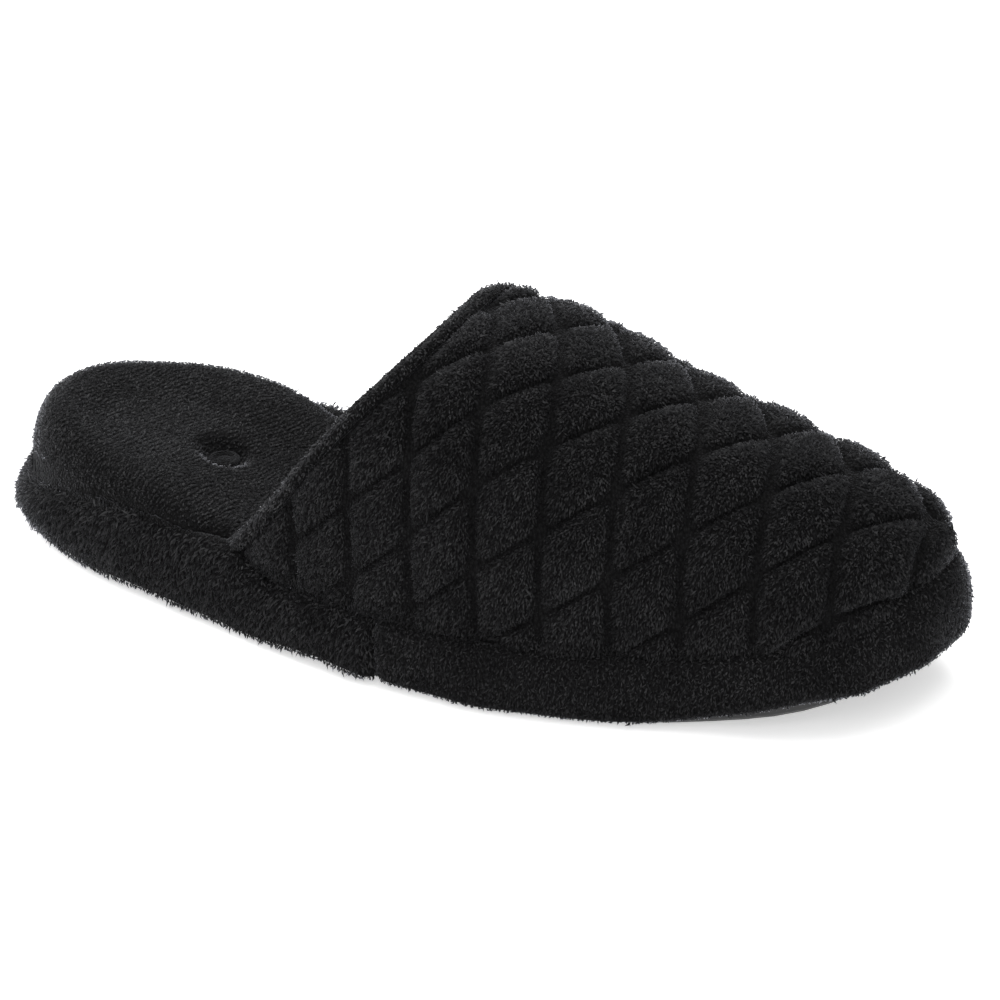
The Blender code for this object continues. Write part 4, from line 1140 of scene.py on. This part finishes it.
class SLIPPER_OT_button(bpy.types.Operator):
    """Makes the plain covered button in the footbed's dent"""

    bl_idname = "slipper.button"
    bl_label = "Footbed button"

    def execute(self, context):
        middle = footbed_top(DIMPLE_ALONG) - FOOTBED_DISH - DIMPLE_DEPTH
        middle = middle + BUTTON_THICKNESS / 2 + BUTTON_SEAT
        place = (np.array([BUTTON_ALONG, BUTTON_ASIDE, middle]) - MIDDLE) * MM
        bpy.ops.object.select_all(action="DESELECT")
        bpy.ops.mesh.primitive_cylinder_add(
            vertices=BUTTON_CORNERS,
            radius=BUTTON_RADIUS * MM,
            depth=BUTTON_THICKNESS * MM,
            location=place,
        )
        button = context.object
        button.name = button.data.name = "button"
        bpy.ops.object.transform_apply(location=True)
        bpy.ops.object.mode_set(mode="EDIT")
        bpy.ops.mesh.select_all(action="SELECT")
        bpy.ops.mesh.bevel(offset=BUTTON_BEVEL * MM, segments=BUTTON_BEVEL_STEPS, affect="EDGES")
        bpy.ops.object.mode_set(mode="OBJECT")
        top = max(button.data.polygons, key=lambda face: face.center.z)
        for item in (*button.data.vertices, *button.data.edges, *button.data.polygons):
            item.select = False
        top.select = True
        bpy.ops.object.mode_set(mode="EDIT")
        bpy.ops.mesh.select_mode(type="FACE")
        for step in BUTTON_STEPS:
            bpy.ops.mesh.inset(thickness=step.inset * MM, depth=step.rise * MM)
        bpy.ops.object.mode_set(mode="OBJECT")
        button.data.shade_smooth()
        finish = context.scene.slipper_colours, BUTTON_KNOTS, BUTTON_SHINE
        material = ground_material("button_cover", *finish)
        dress(button, material, "button_fabric", "footbed_button")
        return {"FINISHED"}


class SLIPPER_OT_outsole(bpy.types.Operator):
    """Gives the outsole its matt rubber with a fine pebbled tread"""

    bl_idname = "slipper.outsole"
    bl_label = "Outsole"

    def execute(self, context):
        material, tree, shader = new_material("sole_rubber_matt")
        place = object_place(tree)
        pebble = add_node(tree, "TexVoronoi", {"Vector": place, "Scale": 420.0})
        add_bump(tree, shader, pebble.outputs["Distance"], distance=0.0004, strength=0.6)
        smudge = add_node(tree, "TexNoise", {"Vector": place, "Scale": 60.0})
        gloss = map_range(tree, smudge.outputs["Fac"], low=0.45, high=0.75)
        sole = [*context.scene.slipper_colours.sole, 1]
        feed(tree, shader, {"Roughness": gloss, "Base Color": sole})
        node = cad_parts["outsole"]
        node.data.materials.clear()
        node.data.materials.append(material)
        return {"FINISHED"}


Coat = namedtuple("Coat", "name skin cover spacing nap")


class SLIPPER_OT_pile(bpy.types.Operator):
    """Sets the terry loops on vamp, hem, bands and footbed"""

    bl_idname = "slipper.pile"
    bl_label = "Terry pile"

    def execute(self, context):
        form, pile = context.scene.slipper_form, context.scene.slipper_pile
        colours = context.scene.slipper_colours
        rng = np.random.default_rng(pile.seed)
        loop = new_loop()
        vamp, hem, footbed = vamp_skin(form, PILE_FINE), hem_skin(form), footbed_skin(form)
        front, heel = band_skins(form)
        outer = vamp.masks["outer"]
        thin = smoothstep((vamp.masks["sewn"] + SEWN_BARE) / SEWN_FULL)
        seen = smoothstep((SEEN_END - footbed.points[..., 0]) / SEEN_FADE)
        seen = seen * (footbed.masks["inward"] > SEEN_INWARD)
        wide, close = pile.band_spacing / MM, pile.vamp_spacing / MM
        inner_close, under_foot = close * INNER_SPACING, pile.footbed_spacing / MM
        coats = (
            Coat("vamp_pile_outer", vamp, thin * outer, close, VAMP_NAP),
            Coat("vamp_pile_inner", vamp, thin * (1 - outer), inner_close, VAMP_NAP),
            Coat("hem_pile", hem, hem.masks["outside"], wide, HEM_NAP),
            Coat("front_band_pile", front, front.masks["outside"], wide, FRONT_NAP),
            Coat("heel_band_pile", heel, heel.masks["outside"], wide, HEEL_NAP),
            Coat("footbed_pile", footbed, seen, under_foot, FOOTBED_NAP),
        )
        vamp_loops = pile_material("vamp_loops", colours), "quilted_terry"
        finishes = (
            vamp_loops,
            vamp_loops,
            (pile_material("hem_loops", colours, HEM_PAINTED_LIGHT), "hem_fabric"),
            (pile_material("band_loops", colours), "band_terry"),
            (pile_material("heel_loops", colours, HEEL_PAINTED_LIGHT), "heel_pile"),
            (pile_material("footbed_loops", colours, FOOTBED_PAINTED_LIGHT), "footbed_terry"),
        )
        for coat, finish in zip(coats, finishes):
            loops = make_pile(coat.name, loop, coat.skin, coat.cover, coat.spacing, coat.nap, pile, rng)
            dress(loops, *finish)
        bpy.data.objects.remove(loop)
        return {"FINISHED"}


class SLIPPER_OT_stage(bpy.types.Operator):
    """Sets the floor, the soft lights and the camera"""

    bl_idname = "slipper.stage"
    bl_label = "Stage"

    def execute(self, context):
        self.make_floor(context)
        self.make_lights(context)
        self.make_camera(context)
        return {"FINISHED"}

    def make_floor(self, context):
        bpy.ops.object.select_all(action="DESELECT")
        bpy.ops.mesh.primitive_plane_add(size=FLOOR_SIZE)
        floor = context.object
        floor.name = "floor"
        material, tree, shader = new_material("pale_floor")
        paint = {"Base Color": [*context.scene.slipper_colours.floor, 1], "Roughness": 0.9}
        glow = {"Emission Color": (1, 1, 1, 1), "Emission Strength": FLOOR_GLOW}
        feed(tree, shader, paint | glow)
        floor.data.materials.append(material)

    def make_lights(self, context):
        world = bpy.data.worlds.new("studio")
        world.use_nodes = True
        sky = world.node_tree.nodes["Background"]
        sky.inputs["Color"].default_value = (1, 1, 1, 1)
        sky.inputs["Strength"].default_value = SKY_STRENGTH
        context.scene.world = world
        for lamp in LAMPS:
            area = bpy.data.lights.new(lamp.name, "AREA")
            area.size, area.energy = lamp.size, lamp.watts
            light = bpy.data.objects.new(lamp.name, area)
            light.location = lamp.place
            aim = Vector(LIGHT_AIM) - light.location
            light.rotation_euler = aim.to_track_quat("-Z", "Y").to_euler()
            context.scene.collection.objects.link(light)

    def make_camera(self, context):
        back = Matrix.Rotation(radians(VIEW_AZIMUTH), 3, "Z") @ (
            Matrix.Rotation(radians(-VIEW_ELEVATION), 3, "X") @ Vector((0, -1, 0))
        )
        lens = bpy.data.cameras.new("photo_camera")
        lens.lens, lens.sensor_width = VIEW_LENS, VIEW_SENSOR
        lens.clip_start, lens.clip_end = 0.05, 50
        camera = bpy.data.objects.new("photo_camera", lens)
        turn = back.to_track_quat("Z", "Y").to_matrix() @ Matrix.Rotation(radians(VIEW_ROLL), 3, "Z")
        middle = Vector(VIEW_TARGET) - Vector(MIDDLE)
        middle += turn.col[0] * VIEW_RIGHT + turn.col[1] * VIEW_UP
        camera.matrix_world = Matrix.LocRotScale((middle + back * VIEW_DISTANCE) * MM, turn, None)
        context.scene.collection.objects.link(camera)
        context.scene.camera = camera
        context.scene.view_settings.view_transform = "Standard"


class SLIPPER_PT_looks(bpy.types.Panel):
    """Lists the slipper's pieces and their sizes"""

    bl_idname = "SLIPPER_PT_looks"
    bl_label = "Clog slipper"
    bl_space_type = "VIEW_3D"
    bl_region_type = "UI"
    bl_category = "Slipper"

    def draw(self, context):
        for settings in (
            context.scene.slipper_form,
            context.scene.slipper_pile,
            context.scene.slipper_colours,
        ):
            box = self.layout.box()
            for name in settings.__annotations__:
                box.prop(settings, name)
        for operator in OPERATORS:
            self.layout.operator(operator.bl_idname)


OPERATORS = (
    SLIPPER_OT_vamp,
    SLIPPER_OT_hem,
    SLIPPER_OT_bands,
    SLIPPER_OT_footbed,
    SLIPPER_OT_button,
    SLIPPER_OT_outsole,
    SLIPPER_OT_pile,
    SLIPPER_OT_stage,
)
SETTINGS = {
    "slipper_form": SlipperForm,
    "slipper_pile": SlipperPile,
    "slipper_colours": SlipperColours,
}


def register():
    for made in (*SETTINGS.values(), *OPERATORS, SLIPPER_PT_looks):
        bpy.utils.register_class(made)
    for name, settings in SETTINGS.items():
        setattr(bpy.types.Scene, name, PointerProperty(type=settings))


def unregister():
    for name in SETTINGS:
        delattr(bpy.types.Scene, name)
    for made in (SLIPPER_PT_looks, *reversed(OPERATORS), *SETTINGS.values()):
        bpy.utils.unregister_class(made)


def main():
    register()
    bpy.ops.slipper.vamp()
    bpy.ops.slipper.hem()
    bpy.ops.slipper.bands()
    bpy.ops.slipper.footbed()
    bpy.ops.slipper.button()
    bpy.ops.slipper.outsole()
    bpy.ops.slipper.pile()
    bpy.ops.slipper.stage()


if __name__ == "__main__":
    main()
